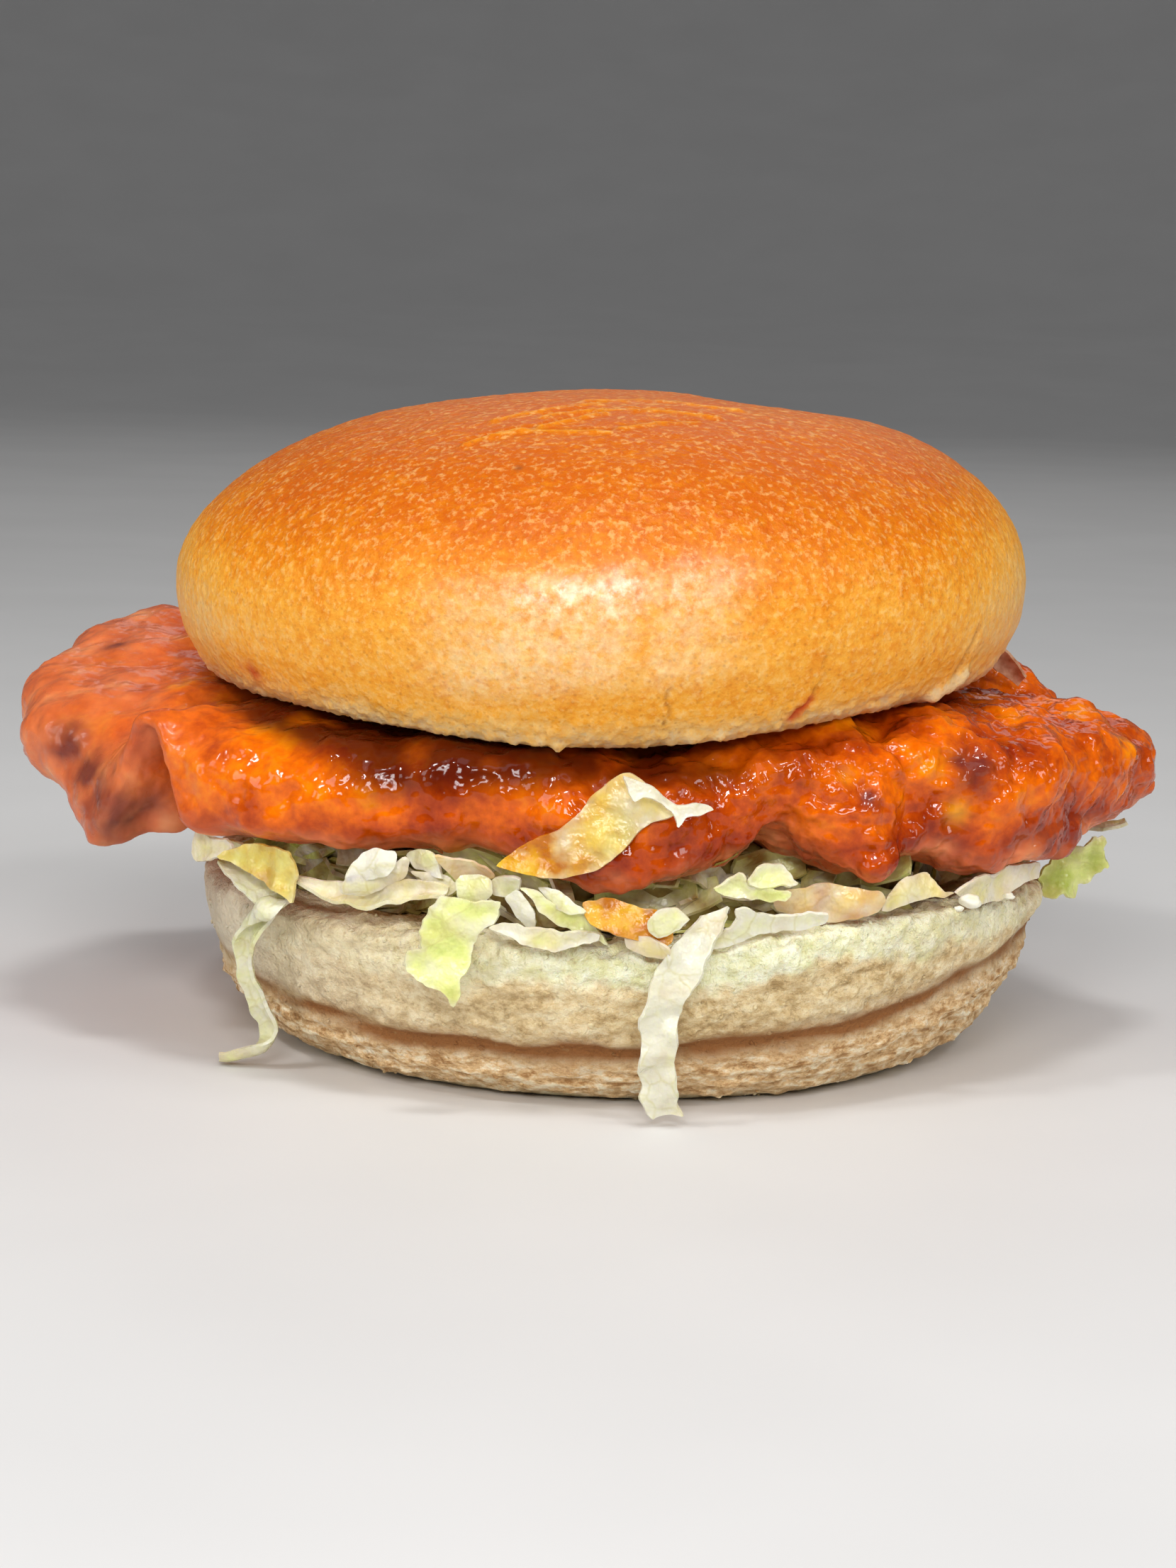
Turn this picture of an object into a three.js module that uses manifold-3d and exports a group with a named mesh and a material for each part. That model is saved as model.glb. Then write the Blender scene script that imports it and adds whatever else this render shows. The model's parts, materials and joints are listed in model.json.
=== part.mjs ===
// A chicken burger in a soft glazed bun: a browned domed crown, one long battered chicken fillet
// coated in hot sauce, a bed of shredded lettuce and a pale creased heel, with shreds hanging out.
// Millimetres, +Z up. The origin is the bottom centre of the whole burger, on the table.
import * as THREE from "three";
import { mergeVertices } from "three/addons/utils/BufferGeometryUtils.js";
import Module from "manifold-3d";

const wasm = await Module();
wasm.setup();

// Driving dimensions
const CROWN_RADIUS = 58.4;
const CROWN_HEIGHT = 38.4; // cut face to the top of the dome
const CROWN_CUT_Z = 50; // height of the crown's cut face over the table
const CROWN_TILT = THREE.MathUtils.degToRad(-1.6); // the thick end of the fillet lifts its right side
const CROWN_X = -1.2;
const HEEL_RADIUS = 59;
const HEEL_RIM_Z = 22.6; // height of the heel's torn upper rim
const HEEL_X = 1.5;
const FILLET_LENGTH_HALF = 70; // plan half-length before its lobes
const FILLET_DEPTH_HALF = 50;
const FILLET_CENTRE = [-2, -2];
const FILLET_LOW_Z = 31; // underside, lifted off the heel by the lettuce
const FILLET_HIGH_Z = 48.6; // upper side, where the crown rests
const BED_RADIUS = 50.5; // outline of the lettuce heap
const LEAF_THICKNESS = 1.2;
const GAP = 0.35; // clearance kept between touching pieces

// How finely the skins are divided
const BUN_AROUND = 46;
const BUN_RINGS = 18;
const FILLET_AROUND = 100;
const FILLET_RINGS = 15;
const BED_AROUND = 36;
const BED_RINGS = 5;

const TURN = 2 * Math.PI;
const lerp = THREE.MathUtils.lerp;

// Repeatable value noise, from -1 to 1, over points in space
function hash(x, y, z) {
  const s = Math.sin(x * 127.1 + y * 311.7 + z * 74.7) * 43758.5453;
  return 2 * (s - Math.floor(s)) - 1;
}

function noise(x, y, z) {
  const [i, j, k] = [Math.floor(x), Math.floor(y), Math.floor(z)];
  const ease = (t) => t * t * (3 - 2 * t);
  const [u, v, w] = [ease(x - i), ease(y - j), ease(z - k)];
  const plane = (dz) =>
    lerp(
      lerp(hash(i, j, k + dz), hash(i + 1, j, k + dz), u),
      lerp(hash(i, j + 1, k + dz), hash(i + 1, j + 1, k + dz), u),
      v,
    );
  return lerp(plane(0), plane(1), w);
}

// A bell of height 1 at angle `at`, both angles in degrees, falling to a third at `spread` degrees away
function bell(angle, at, spread) {
  const away = ((((angle - at) % 360) + 540) % 360) - 180;
  return Math.exp(-((away / spread) ** 2));
}

// A closed skin of rings: point(turn, climb) gives [x, y, z] for turn 0 to 1 round the piece and climb 0 to 1
// from the middle of its underside, out round its edge, to the middle of its upper side
function closedSkin(point, around, rings) {
  const positions = [...point(0, 0)];
  for (let i = 1; i < rings; i++)
    for (let j = 0; j < around; j++) positions.push(...point(j / around, i / rings));
  positions.push(...point(0, 1));
  const last = positions.length / 3 - 1;
  const at = (i, j) => 1 + (i - 1) * around + (j % around);
  const index = [];
  for (let j = 0; j < around; j++) {
    index.push(0, at(1, j + 1), at(1, j));
    for (let i = 1; i < rings - 1; i++) {
      index.push(at(i, j), at(i, j + 1), at(i + 1, j + 1));
      index.push(at(i, j), at(i + 1, j + 1), at(i + 1, j));
    }
    index.push(at(rings - 1, j), at(rings - 1, j + 1), last);
  }
  return geometryOf(positions, index);
}

function geometryOf(positions, index) {
  const geometry = new THREE.BufferGeometry();
  geometry.setAttribute("position", new THREE.Float32BufferAttribute(positions, 3));
  geometry.setIndex(index);
  geometry.computeVertexNormals();
  return geometry;
}

// A bun half is a turned profile of [radius, height], spaced evenly along its length
function bunHalf(profile, radius, shape) {
  const curve = new THREE.SplineCurve(profile.map(([r, z]) => new THREE.Vector2(r, z)));
  return closedSkin(
    (turn, climb) => {
      const spot = curve.getPointAt(climb);
      const angle = turn * TURN;
      const share = Math.max(spot.x, 0) / radius;
      const height = Math.max(spot.y, profile[0][1]); // the curve dips a hair under its flat start
      const { reach, lift } = shape(THREE.MathUtils.radToDeg(angle), share, height);
      const r = Math.max(spot.x, 0) * (1 + reach);
      return [r * Math.cos(angle), r * Math.sin(angle), height + lift];
    },
    BUN_AROUND,
    BUN_RINGS,
  );
}

// Crown: a cut face that sags a little onto the fillet, a lower edge that turns in, and a dome that is flat on
// top with one shallow dip
function crownGeometry() {
  const R = CROWN_RADIUS;
  const H = CROWN_HEIGHT;
  const profile = [
    [0, -1], [0.45 * R, -1], [0.8 * R, -0.5], [0.87 * R, 0.1], [0.905 * R, 0.7], [0.935 * R, 2.2], [0.96 * R, 4.3],
    [0.987 * R, 7.6], [R, 12], [0.993 * R, 16.5], [0.965 * R, 20.8], [0.918 * R, 24.6],
    [0.855 * R, 27.9], [0.775 * R, 30.9], [0.675 * R, 33.5], [0.56 * R, 35.6], [0.42 * R, 37.1],
    [0.25 * R, 38.1], [0, H],
  ];
  const dip = { at: 15, share: 0.42, depth: 1.4, spread: 34 };
  const droop = { at: 270, depth: 4.4, spread: 36 };
  const slope = { at: 180, depth: 1.3, spread: 60 };
  return bunHalf(profile, CROWN_RADIUS, (angle, share, z) => {
    const onTop = THREE.MathUtils.smoothstep(z, 0.6 * H, 0.95 * H);
    const dent = dip.depth * bell(angle, dip.at, dip.spread) * Math.exp(-(((share - dip.share) / 0.2) ** 2));
    const hang = droop.depth * bell(angle, droop.at, droop.spread) * share ** 2 * Math.exp(-z / 9);
    const fall = slope.depth * bell(angle, slope.at, slope.spread) * share * THREE.MathUtils.smoothstep(z, 0.3 * H, 0.7 * H);
    return { reach: 0.005 * Math.cos(THREE.MathUtils.degToRad(2 * angle)), lift: -onTop * dent - hang - fall };
  });
}

// Heel: small flat base, a lip that flares up to a browned crease, and a paler wall up to the torn rim
function heelGeometry() {
  const R = HEEL_RADIUS;
  const Z = HEEL_RIM_Z;
  const profile = [
    [0, 0], [0.36 * R, 0], [0.71 * R, 0], [0.785 * R, 0.7], [0.843 * R, 2.6], [0.888 * R, 5.2],
    [0.912 * R, 7.6], [0.913 * R, 8.9], [0.932 * R, 10.4], [0.96 * R, 13], [0.982 * R, 16],
    [0.995 * R, 19], [0.992 * R, Z - 1.4], [0.965 * R, Z - 0.2], [0.92 * R, Z], [0.8 * R, Z - 0.9],
    [0.5 * R, Z - 1.6], [0, Z - 1.8],
  ];
  return bunHalf(profile, HEEL_RADIUS, (angle, share, z) => {
    const height = THREE.MathUtils.smoothstep(z, 0.2 * Z, Z);
    const wave = Math.sin(THREE.MathUtils.degToRad(5 * angle + 20)) + 0.6 * Math.sin(THREE.MathUtils.degToRad(9 * angle));
    const lean = 0.02 * Math.cos(THREE.MathUtils.degToRad(angle)); // the upper part sits a little to the right
    return { reach: (0.004 * wave + lean) * height, lift: 0.35 * wave * height * share };
  });
}

// The fillet's named lobes and notches, by angle round its plan: reach pushes its edge out, lift and drop move
// the edge's upper and lower side, and spread is the half-width in degrees
const FILLET_LOBES = [
  { name: "right end", at: -2, spread: 9, reach: 8, lift: -2, drop: -1 },
  { name: "right back knob", at: 22, spread: 6, reach: 1.5, lift: 6, drop: 0 },
  { name: "back swell", at: 95, spread: 22, reach: 2, lift: 1, drop: 0 },
  { name: "left back hump", at: 160, spread: 17, reach: 5, lift: 10.5, drop: -1 },
  { name: "left end", at: 181, spread: 11, reach: 8.4, lift: -1, drop: 0 },
  { name: "left drooping tip", at: 197, spread: 5.5, reach: 1.6, lift: -4, drop: 8 },
  { name: "left notch", at: 205, spread: 4.5, reach: -5, lift: -1, drop: -5 },
  { name: "left small tip", at: 212, spread: 4, reach: 1, lift: 0, drop: 1.5 },
  { name: "front left roll", at: 230, spread: 15, reach: 0.5, lift: -2, drop: 1.8 },
  { name: "hanging lump", at: 274, spread: 15, reach: 5, lift: -3, drop: 7 },
  { name: "front notch", at: 297, spread: 5, reach: -2, lift: 0, drop: -4 },
  { name: "front right lobe", at: 307, spread: 5, reach: 5, lift: 2, drop: 5.4 },
  { name: "right lobe", at: 325, spread: 7, reach: -1, lift: 3, drop: 6 },
  { name: "right roll", at: 342, spread: 9, reach: 0.5, lift: 2, drop: 5 },
];

function filletEdge(angle) {
  const rad = THREE.MathUtils.degToRad(angle);
  const roundness = 2.4;
  const oval =
    (Math.abs(Math.cos(rad)) / FILLET_LENGTH_HALF) ** roundness +
    (Math.abs(Math.sin(rad)) / FILLET_DEPTH_HALF) ** roundness;
  const edge = { reach: oval ** (-1 / roundness), low: FILLET_LOW_Z, high: FILLET_HIGH_Z };
  for (const lobe of FILLET_LOBES) {
    const share = bell(angle, lobe.at, lobe.spread);
    edge.reach += lobe.reach * share;
    edge.low -= lobe.drop * share;
    edge.high += lobe.lift * share;
  }
  return edge;
}

function filletGeometry() {
  const batter = [[13, 1.5], [6.5, 0.7]]; // wavelength and height of the lumps in the coating
  return closedSkin(
    (turn, climb) => {
      const edge = filletEdge(turn * 360);
      const tilt = (climb - 0.5) * Math.PI;
      const out = Math.abs(Math.cos(tilt)) ** 0.42;
      const up = Math.sign(tilt) * Math.abs(Math.sin(tilt)) ** 0.52;
      const toEdge = out ** 3;
      const low = lerp(FILLET_LOW_Z, edge.low, toEdge);
      const high = lerp(FILLET_HIGH_Z, edge.high, toEdge);
      const angle = turn * TURN;
      const x = FILLET_CENTRE[0] + out * edge.reach * Math.cos(angle);
      const y = FILLET_CENTRE[1] + out * edge.reach * Math.sin(angle);
      const z = (low + high) / 2 + (up * (high - low)) / 2;
      let swell = 0;
      for (const [length, height] of batter) swell += height * noise(x / length, y / length, z / length);
      return [x + swell * out * Math.cos(angle), y + swell * out * Math.sin(angle), z + 0.8 * swell * up];
    },
    FILLET_AROUND,
    FILLET_RINGS,
  );
}

// The lettuce heap: a disc with a ragged edge, later cut by the pieces it lies between
function bedGeometry() {
  const low = HEEL_RIM_Z - 6;
  const high = FILLET_LOW_Z + 7;
  return closedSkin(
    (turn, climb) => {
      const angle = turn * TURN;
      const tilt = (climb - 0.5) * Math.PI;
      const out = Math.abs(Math.cos(tilt)) ** 0.3;
      const up = Math.sign(tilt) * Math.abs(Math.sin(tilt)) ** 0.7;
      const ragged = 1.6 * Math.sin(7 * angle + 1) + 1.2 * Math.sin(13 * angle) + 0.8 * Math.sin(23 * angle + 2);
      const r = out * (BED_RADIUS + ragged);
      return [r * Math.cos(angle), r * Math.sin(angle), (low + high) / 2 + (up * (high - low)) / 2];
    },
    BED_AROUND,
    BED_RINGS,
  );
}

// A shred or leaf: a thin strip with rounded long edges, through stations of
// { at: middle, across: direction of its width, width }
function leafGeometry(stations, samples) {
  const along = new THREE.CatmullRomCurve3(stations.map((s) => new THREE.Vector3(...s.at)));
  const across = new THREE.CatmullRomCurve3(stations.map((s) => new THREE.Vector3(...s.across).normalize()));
  const widths = new THREE.CatmullRomCurve3(stations.map((s) => new THREE.Vector3(s.width, 0, 0)));
  const section = [[-1, 0], [-0.7, -1], [0.7, -1], [1, 0], [0.7, 1], [-0.7, 1]];
  const positions = [];
  for (let i = 0; i <= samples; i++) {
    const t = i / samples;
    const middle = along.getPoint(t);
    const side = across.getPoint(t).normalize();
    const face = new THREE.Vector3().crossVectors(along.getTangent(t), side).normalize();
    const half = widths.getPoint(t).x / 2;
    for (const [s, f] of section) {
      const spot = middle.clone().addScaledVector(side, s * half).addScaledVector(face, (f * LEAF_THICKNESS) / 2);
      positions.push(spot.x, spot.y, spot.z);
    }
  }
  const n = section.length;
  const index = [];
  for (let i = 0; i < samples; i++)
    for (let j = 0; j < n; j++) {
      const [a, b] = [i * n + j, i * n + ((j + 1) % n)];
      index.push(a, b, b + n, a, b + n, a + n);
    }
  const end = samples * n;
  for (let j = 1; j < n - 1; j++) index.push(0, j + 1, j, end, end + j, end + j + 1);
  return geometryOf(positions, index);
}

const X_AXIS = [1, 0, 0];
const LEAVES = {
  shred_left: [
    { at: [-52, -29.5, 28.4], across: [0.5, 0.2, 0.9], width: 6 },
    { at: [-46.4, -38, 26], across: [0.5, 0.2, 0.9], width: 6.5 },
    { at: [-41.4, -43.4, 24], across: [0.6, -0.4, 0.6], width: 4.5 },
    { at: [-45.6, -41, 20.8], across: [0.8, -0.5, 0.3], width: 4.5 },
    { at: [-46.7, -39.2, 16.4], across: [0.8, -0.6, 0], width: 3.4 },
    { at: [-46.1, -37.4, 12], across: [0.8, -0.6, 0], width: 2.6 },
    { at: [-44.7, -35.8, 8.4], across: [0.8, -0.6, 0], width: 2.2 },
    { at: [-43.8, -35.2, 5.6], across: [0.8, -0.5, 0.3], width: 2.8 },
    { at: [-45.7, -34, 2.8], across: [0.5, -0.8, 0.3], width: 3.4 },
    { at: [-49.6, -33, 1.5], across: [0.2, -1, 0.2], width: 2.6 },
  ],
  shred_front: [
    { at: [14.1, -58.8, 28.6], across: [0.8, 0.1, 0.6], width: 3.2 },
    { at: [11.6, -60, 26.2], across: [0.9, 0, 0.5], width: 4.8 },
    { at: [9, -61.3, 23], across: X_AXIS, width: 5 },
    { at: [7.4, -61.5, 19.4], across: X_AXIS, width: 5 },
    { at: [7.3, -61, 15], across: X_AXIS, width: 5 },
    { at: [7.9, -60, 10.2], across: X_AXIS, width: 5 },
    { at: [8.3, -59, 5.4], across: X_AXIS, width: 5.2 },
    { at: [9.1, -58, 1.5], across: X_AXIS, width: 4.4 },
  ],
  leaf_front_left: [
    { at: [-17.4, -57, 27.2], across: [1, 0.3, 0.3], width: 7 },
    { at: [-18.6, -58.8, 24], across: [1, 0.35, 0.2], width: 10 },
    { at: [-20.1, -59.2, 20.6], across: [1, 0.35, 0.1], width: 9.5 },
    { at: [-19.2, -58.6, 17.2], across: [1, 0.35, 0.1], width: 5.5 },
    { at: [-17.9, -58, 14.4], across: [1, 0.35, 0], width: 1.6 },
  ],
  leaf_on_sauce: [
    { at: [-12.2, -60.5, 32.2], across: [-0.5, 0, 0.9], width: 2.6 },
    { at: [-7.5, -61.2, 35.6], across: [-0.5, 0, 0.9], width: 6 },
    { at: [-2.3, -61.2, 39.4], across: [-0.5, 0, 0.9], width: 7.2 },
    { at: [2, -60.8, 41.8], across: [0, 0, 1], width: 6 },
    { at: [5.9, -60.5, 40.8], across: [0.3, 0.1, 1], width: 4 },
    { at: [11.6, -60, 39.6], across: [0.2, 0.1, 1], width: 1.8 },
  ],
  leaf_right: [
    { at: [63.3, -8, 28.3], across: [0.3, 1, 0], width: 5 },
    { at: [64.6, -8, 24.6], across: [0.9, -0.5, 0], width: 7 },
    { at: [65.2, -9, 21], across: [0.9, -0.5, 0], width: 7 },
  ],
  shred_right: [
    { at: [65.6, 0, 27.6], across: [0, 1, 0.2], width: 3 },
    { at: [69.3, -1, 29], across: [0, 1, 0.2], width: 3 },
    { at: [73, -2, 30.4], across: [0, 1, 0], width: 2 },
  ],
  leaf_front_right: [
    { at: [13.8, -55.6, 28.8], across: [0, 0.6, 0.8], width: 3 },
    { at: [17.3, -55.8, 29], across: [0.2, 0.9, 0.5], width: 4.4 },
    { at: [22, -54.4, 28.4], across: [0.3, 1, 0.2], width: 2.4 },
  ],
  curl_left: [
    { at: [-38.8, -44.6, 26.6], across: [0.3, 1, 0.4], width: 3 },
    { at: [-33.2, -48.4, 27.2], across: [0.3, 1, 0.6], width: 4.6 },
    { at: [-27.1, -51.4, 27], across: [0.3, 1, 0.4], width: 4.4 },
    { at: [-20.3, -53.6, 27], across: [0.3, 1, 0.2], width: 2.4 },
  ],
  onion_sliver: [
    { at: [54.4, 16, 54.2], across: [0.5, -0.3, 0.8], width: 2.6 },
    { at: [57.6, 15, 53.2], across: [0.5, -0.3, 0.8], width: 3 },
    { at: [60.6, 13.5, 51.4], across: [0.5, -0.4, 0.7], width: 2.2 },
  ],
};

// Solids for joining and cutting
function solidOf(geometry, matrix) {
  const bare = geometry.clone().applyMatrix4(matrix);
  bare.deleteAttribute("normal");
  const merged = mergeVertices(bare, 1e-3);
  return new wasm.Manifold(
    new wasm.Mesh({
      numProp: 3,
      vertProperties: merged.attributes.position.array,
      triVerts: new Uint32Array(merged.index.array),
    }),
  );
}

// The same skin moved out along its normals by GAP
function grown(geometry) {
  const out = geometry.clone();
  const { position, normal } = out.attributes;
  for (let i = 0; i < position.count; i++)
    position.setXYZ(
      i,
      position.getX(i) + GAP * normal.getX(i),
      position.getY(i) + GAP * normal.getY(i),
      position.getZ(i) + GAP * normal.getZ(i),
    );
  return out;
}

// Cuts each neighbour, grown by GAP, out of the piece, and keeps the largest body that is left
function carve(piece, ...neighbours) {
  piece.updateWorldMatrix(true, false);
  const back = piece.matrixWorld.clone().invert();
  let solid = solidOf(piece.geometry, new THREE.Matrix4());
  for (const other of neighbours) {
    other.updateWorldMatrix(true, false);
    solid = solid.subtract(solidOf(grown(other.geometry), other.matrixWorld.clone().premultiply(back)));
  }
  const bodies = solid.decompose().sort((a, b) => b.volume() - a.volume());
  const { vertProperties, triVerts, numProp, numVert } = bodies[0].getMesh();
  const positions = [];
  for (let i = 0; i < numVert; i++) positions.push(...vertProperties.subarray(i * numProp, i * numProp + 3));
  piece.geometry = geometryOf(positions, [...triVerts]);
}

function piece(name, geometry, color, roughness) {
  const mesh = new THREE.Mesh(geometry, new THREE.MeshStandardMaterial({ color, roughness, metalness: 0 }));
  mesh.name = name;
  return mesh;
}

const burger = new THREE.Group();

const heel = piece("heel_bun", heelGeometry(), 0xe3d3b0, 0.85);
heel.position.x = HEEL_X;

const fillet = piece("chicken_fillet", filletGeometry(), 0xc8420e, 0.3);

const crown = piece("crown_bun", crownGeometry(), 0xd8862a, 0.45);
crown.position.set(CROWN_X, 0, CROWN_CUT_Z);
crown.rotation.y = CROWN_TILT;

const bed = piece("lettuce_bed", bedGeometry(), 0xd9e09a, 0.5);
bed.position.x = HEEL_X;

burger.add(heel, fillet, crown, bed);
carve(crown, fillet);
carve(bed, heel, fillet);

for (const [name, stations] of Object.entries(LEAVES)) {
  const leaf = piece(name, leafGeometry(stations, 2 * (stations.length - 1)), 0xdfe6a8, 0.45);
  burger.add(leaf);
  carve(leaf, heel, fillet, crown, bed);
}

// The origin goes to the bottom centre of the box round the whole burger
const box = new THREE.Box3().setFromObject(burger, true);
burger.position.set(-(box.min.x + box.max.x) / 2, -(box.min.y + box.max.y) / 2, -box.min.z);

const root = new THREE.Group();
root.add(burger);

export default root;
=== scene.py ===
"""A chicken burger in a soft glazed bun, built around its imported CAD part.

A browned crown, one long battered chicken fillet in hot sauce, shredded iceberg lettuce and a pale torn heel.
Shapes are worked out in millimetres in the burger's drawing frame, whose origin is on the table, under the
middle of the crown. place() takes them to the row frame in metres. The shown front faces -Y.
"""

import json
import math

import bmesh
import bpy
import numpy as np
from mathutils import Matrix, Vector, geometry, noise
from mathutils.bvhtree import BVHTree

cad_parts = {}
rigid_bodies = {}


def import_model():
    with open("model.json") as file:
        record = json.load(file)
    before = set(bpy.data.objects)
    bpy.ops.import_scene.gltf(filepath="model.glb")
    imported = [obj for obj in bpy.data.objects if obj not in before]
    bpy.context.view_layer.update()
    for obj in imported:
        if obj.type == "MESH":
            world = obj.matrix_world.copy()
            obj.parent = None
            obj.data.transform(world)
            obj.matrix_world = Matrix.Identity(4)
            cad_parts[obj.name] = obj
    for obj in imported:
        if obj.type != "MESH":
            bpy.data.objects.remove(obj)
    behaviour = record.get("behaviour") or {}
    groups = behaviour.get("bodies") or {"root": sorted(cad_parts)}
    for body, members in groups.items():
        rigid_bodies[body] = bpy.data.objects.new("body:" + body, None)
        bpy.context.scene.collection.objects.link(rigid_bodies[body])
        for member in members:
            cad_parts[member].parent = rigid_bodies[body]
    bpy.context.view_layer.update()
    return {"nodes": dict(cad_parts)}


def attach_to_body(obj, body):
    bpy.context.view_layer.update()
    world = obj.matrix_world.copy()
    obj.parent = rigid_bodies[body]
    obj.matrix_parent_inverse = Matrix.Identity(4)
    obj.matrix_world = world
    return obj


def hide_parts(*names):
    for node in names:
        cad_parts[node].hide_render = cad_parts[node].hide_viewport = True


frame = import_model()

MM = 0.001
DRAWING_ORIGIN = np.array([2.785, 1.946, 0.0])  # mm, of the drawing frame in the row frame
FRONT = 270  # degrees round the plan, towards the shown front
SHARP_ANGLE = math.radians(50)  # edges of thin pieces sharper than this are shown crisp

# Driving dimensions, mm, as in the CAD part
CROWN_RADIUS = 58.4
CROWN_HEIGHT = 38.4
CROWN_CUT_Z = 50.0
CROWN_TILT = math.radians(-1.6)
CROWN_X = -1.2
HEEL_RADIUS = 59.0
HEEL_RIM_Z = 22.6
HEEL_X = 1.5
FILLET_LENGTH_HALF = 70.0
FILLET_DEPTH_HALF = 50.0
FILLET_CENTRE = (-2.0, -2.0)
FILLET_LOW_Z = 31.0
FILLET_HIGH_Z = 48.6
NOTCH_RISE = 14.0  # of the fillet's lower face at the left notch
NOTCH_ANGLE = 209

# Gaps and sheets, mm
CROWN_GAP = 0.25
LEAF_GAP = 0.15
TORN_GAP = 0.35
SHRED_GAP = 0.2
TORN_THICKNESS = 0.42
RIM_STEP = 0.4  # between the points of a torn edge
FILL_STEP = 0.55  # between the points inside it

# Photograph's viewpoint
AIM = Vector((0.285, 1.946, 33.55)) * MM
CAMERA_DISTANCE = 478 * MM
CAMERA_PITCH = math.radians(9.5)
CAMERA_ROLL = math.radians(1.6)
CAMERA_LENS = 78.12
CAMERA_SENSOR = 36.0


# Numbers and curves

def smoothstep(value, low, high):
    t = np.clip((value - low) / (high - low), 0, 1)
    return t * t * (3 - 2 * t)


def hump(value, middle, width, power=2):
    """1 where the value is at its middle, falling to a third `width` away; a high power flattens the top."""
    return np.exp(-(((value - middle) / width) ** power))


def bell(angle, at, spread):
    """The same round the plan, in degrees."""
    return hump(np.mod(angle - at + 180, 360) - 180, 0, spread)


def place(points):
    """Drawing frame in mm to row frame in metres."""
    return (np.asarray(points, float) + DRAWING_ORIGIN) * MM


def drawn(points):
    """Row frame in metres to drawing frame in mm."""
    return np.array(points, float) / MM - DRAWING_ORIGIN


def lattice(i, j, k):
    s = np.sin(i * 127.1 + j * 311.7 + k * 74.7) * 43758.5453
    return 2 * (s - np.floor(s)) - 1


def coarse_swell(points, size):
    """Value noise from -1 to 1, the same one that shapes the CAD fillet."""
    spots = points / size
    cell = np.floor(spots)
    u, v, w = np.moveaxis((spots - cell) ** 2 * (3 - 2 * (spots - cell)), -1, 0)
    i, j, k = np.moveaxis(cell, -1, 0)

    def level(dk):
        near = lattice(i, j, k + dk) * (1 - u) + lattice(i + 1, j, k + dk) * u
        far = lattice(i, j + 1, k + dk) * (1 - u) + lattice(i + 1, j + 1, k + dk) * u
        return near * (1 - v) + far * v

    return level(0) * (1 - w) + level(1) * w


def swell(points, size, seed=0, stretch=(1, 1, 1)):
    """Smooth noise from about -1 to 1, its lumps about `size` mm apart."""
    spots = points.reshape(-1, 3) / (size * np.array(stretch)) + 31.7 * seed
    values = [noise.noise(spot) for spot in spots.tolist()]
    return np.array(values).reshape(points.shape[:-1])


def knobs(points, size, seed=0):
    """Rounded knobs about `size` mm apart, from 0 in the gaps to 1 on top."""
    spots = points.reshape(-1, 3) / size + 31.7 * seed
    nearest = [noise.voronoi(spot)[0][0] for spot in spots.tolist()]
    return 1 - np.clip(np.array(nearest).reshape(points.shape[:-1]) / 0.8, 0, 1) ** 2


def near_path(points, normals, path, width):
    """1 on a path drawn on the surface, falling to a third `width` mm beside it."""
    best = np.full(points.shape[:-1], 1e9)
    for start, end in zip(np.array(path[:-1], float), np.array(path[1:], float)):
        run = end - start
        share = np.clip(((points - start) @ run) / (run @ run), 0, 1)
        off = points - (start + share[..., None] * run)
        off -= np.sum(off * normals, axis=-1, keepdims=True) * normals * 0.9
        best = np.minimum(best, np.linalg.norm(off, axis=-1))
    return hump(best, 0, width)


def near_spot(points, spot, radius):
    return hump(np.linalg.norm(points - np.array(spot, float), axis=-1), 0, radius)


def near_spots(points, spots):
    """The strongest of several spots, each a middle and a radius."""
    return np.max([near_spot(points, spot, radius) for spot, radius in spots], axis=0)


def bend(start, end, leaving, arriving, t):
    """Points of the smooth bend between two knots, from its directions at both."""
    return (
        (2 * start - 2 * end + leaving + arriving) * t**3
        + (-3 * start + 3 * end - 2 * leaving - arriving) * t**2 + leaving * t + start
    )


def rounded(knots, samples=40):
    """A smooth curve through the knots."""
    knots = np.array(knots, float)
    padded = np.vstack([knots[:1], knots, knots[-1:]])
    t = np.linspace(0, 1, samples, endpoint=False)[:, None]
    parts = []
    for p0, p1, p2, p3 in zip(padded, padded[1:], padded[2:], padded[3:]):
        parts.append(bend(p1, p2, (p2 - p0) / 2, (p3 - p1) / 2, t))
    return np.vstack([*parts, knots[-1:]])


def rounded_loop(corners, samples=8, slack=0.33):
    """A closed curve through the corners; less slack keeps them sharper."""
    corners = np.array(corners, float)
    t = np.linspace(0, 1, samples, endpoint=False)[:, None]
    parts = []
    for p0, p1, p2, p3 in zip(*(np.roll(corners, turn, axis=0) for turn in (1, 0, -1, -2))):
        parts.append(bend(p1, p2, (p2 - p0) * slack, (p3 - p1) * slack, t))
    return np.vstack([*parts, parts[0][:1]])


def arc_lengths(curve):
    """Length along a curve up to each of its points."""
    return np.concatenate([[0], np.cumsum(np.linalg.norm(np.diff(curve, axis=0), axis=1))])


def at_shares(curve, shares):
    """Points of a curve at shares of its length."""
    length = arc_lengths(curve)
    return np.stack([np.interp(np.asarray(shares) * length[-1], length, axis) for axis in curve.T], axis=-1)


def stretches(*runs):
    """Shares of a length from runs of (end, count), each divided evenly."""
    made, start = [0.0], 0.0
    for end, count in runs:
        made += list(start + (end - start) * np.arange(1, count + 1) / count)
        start = end
    return np.array(made)


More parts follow.
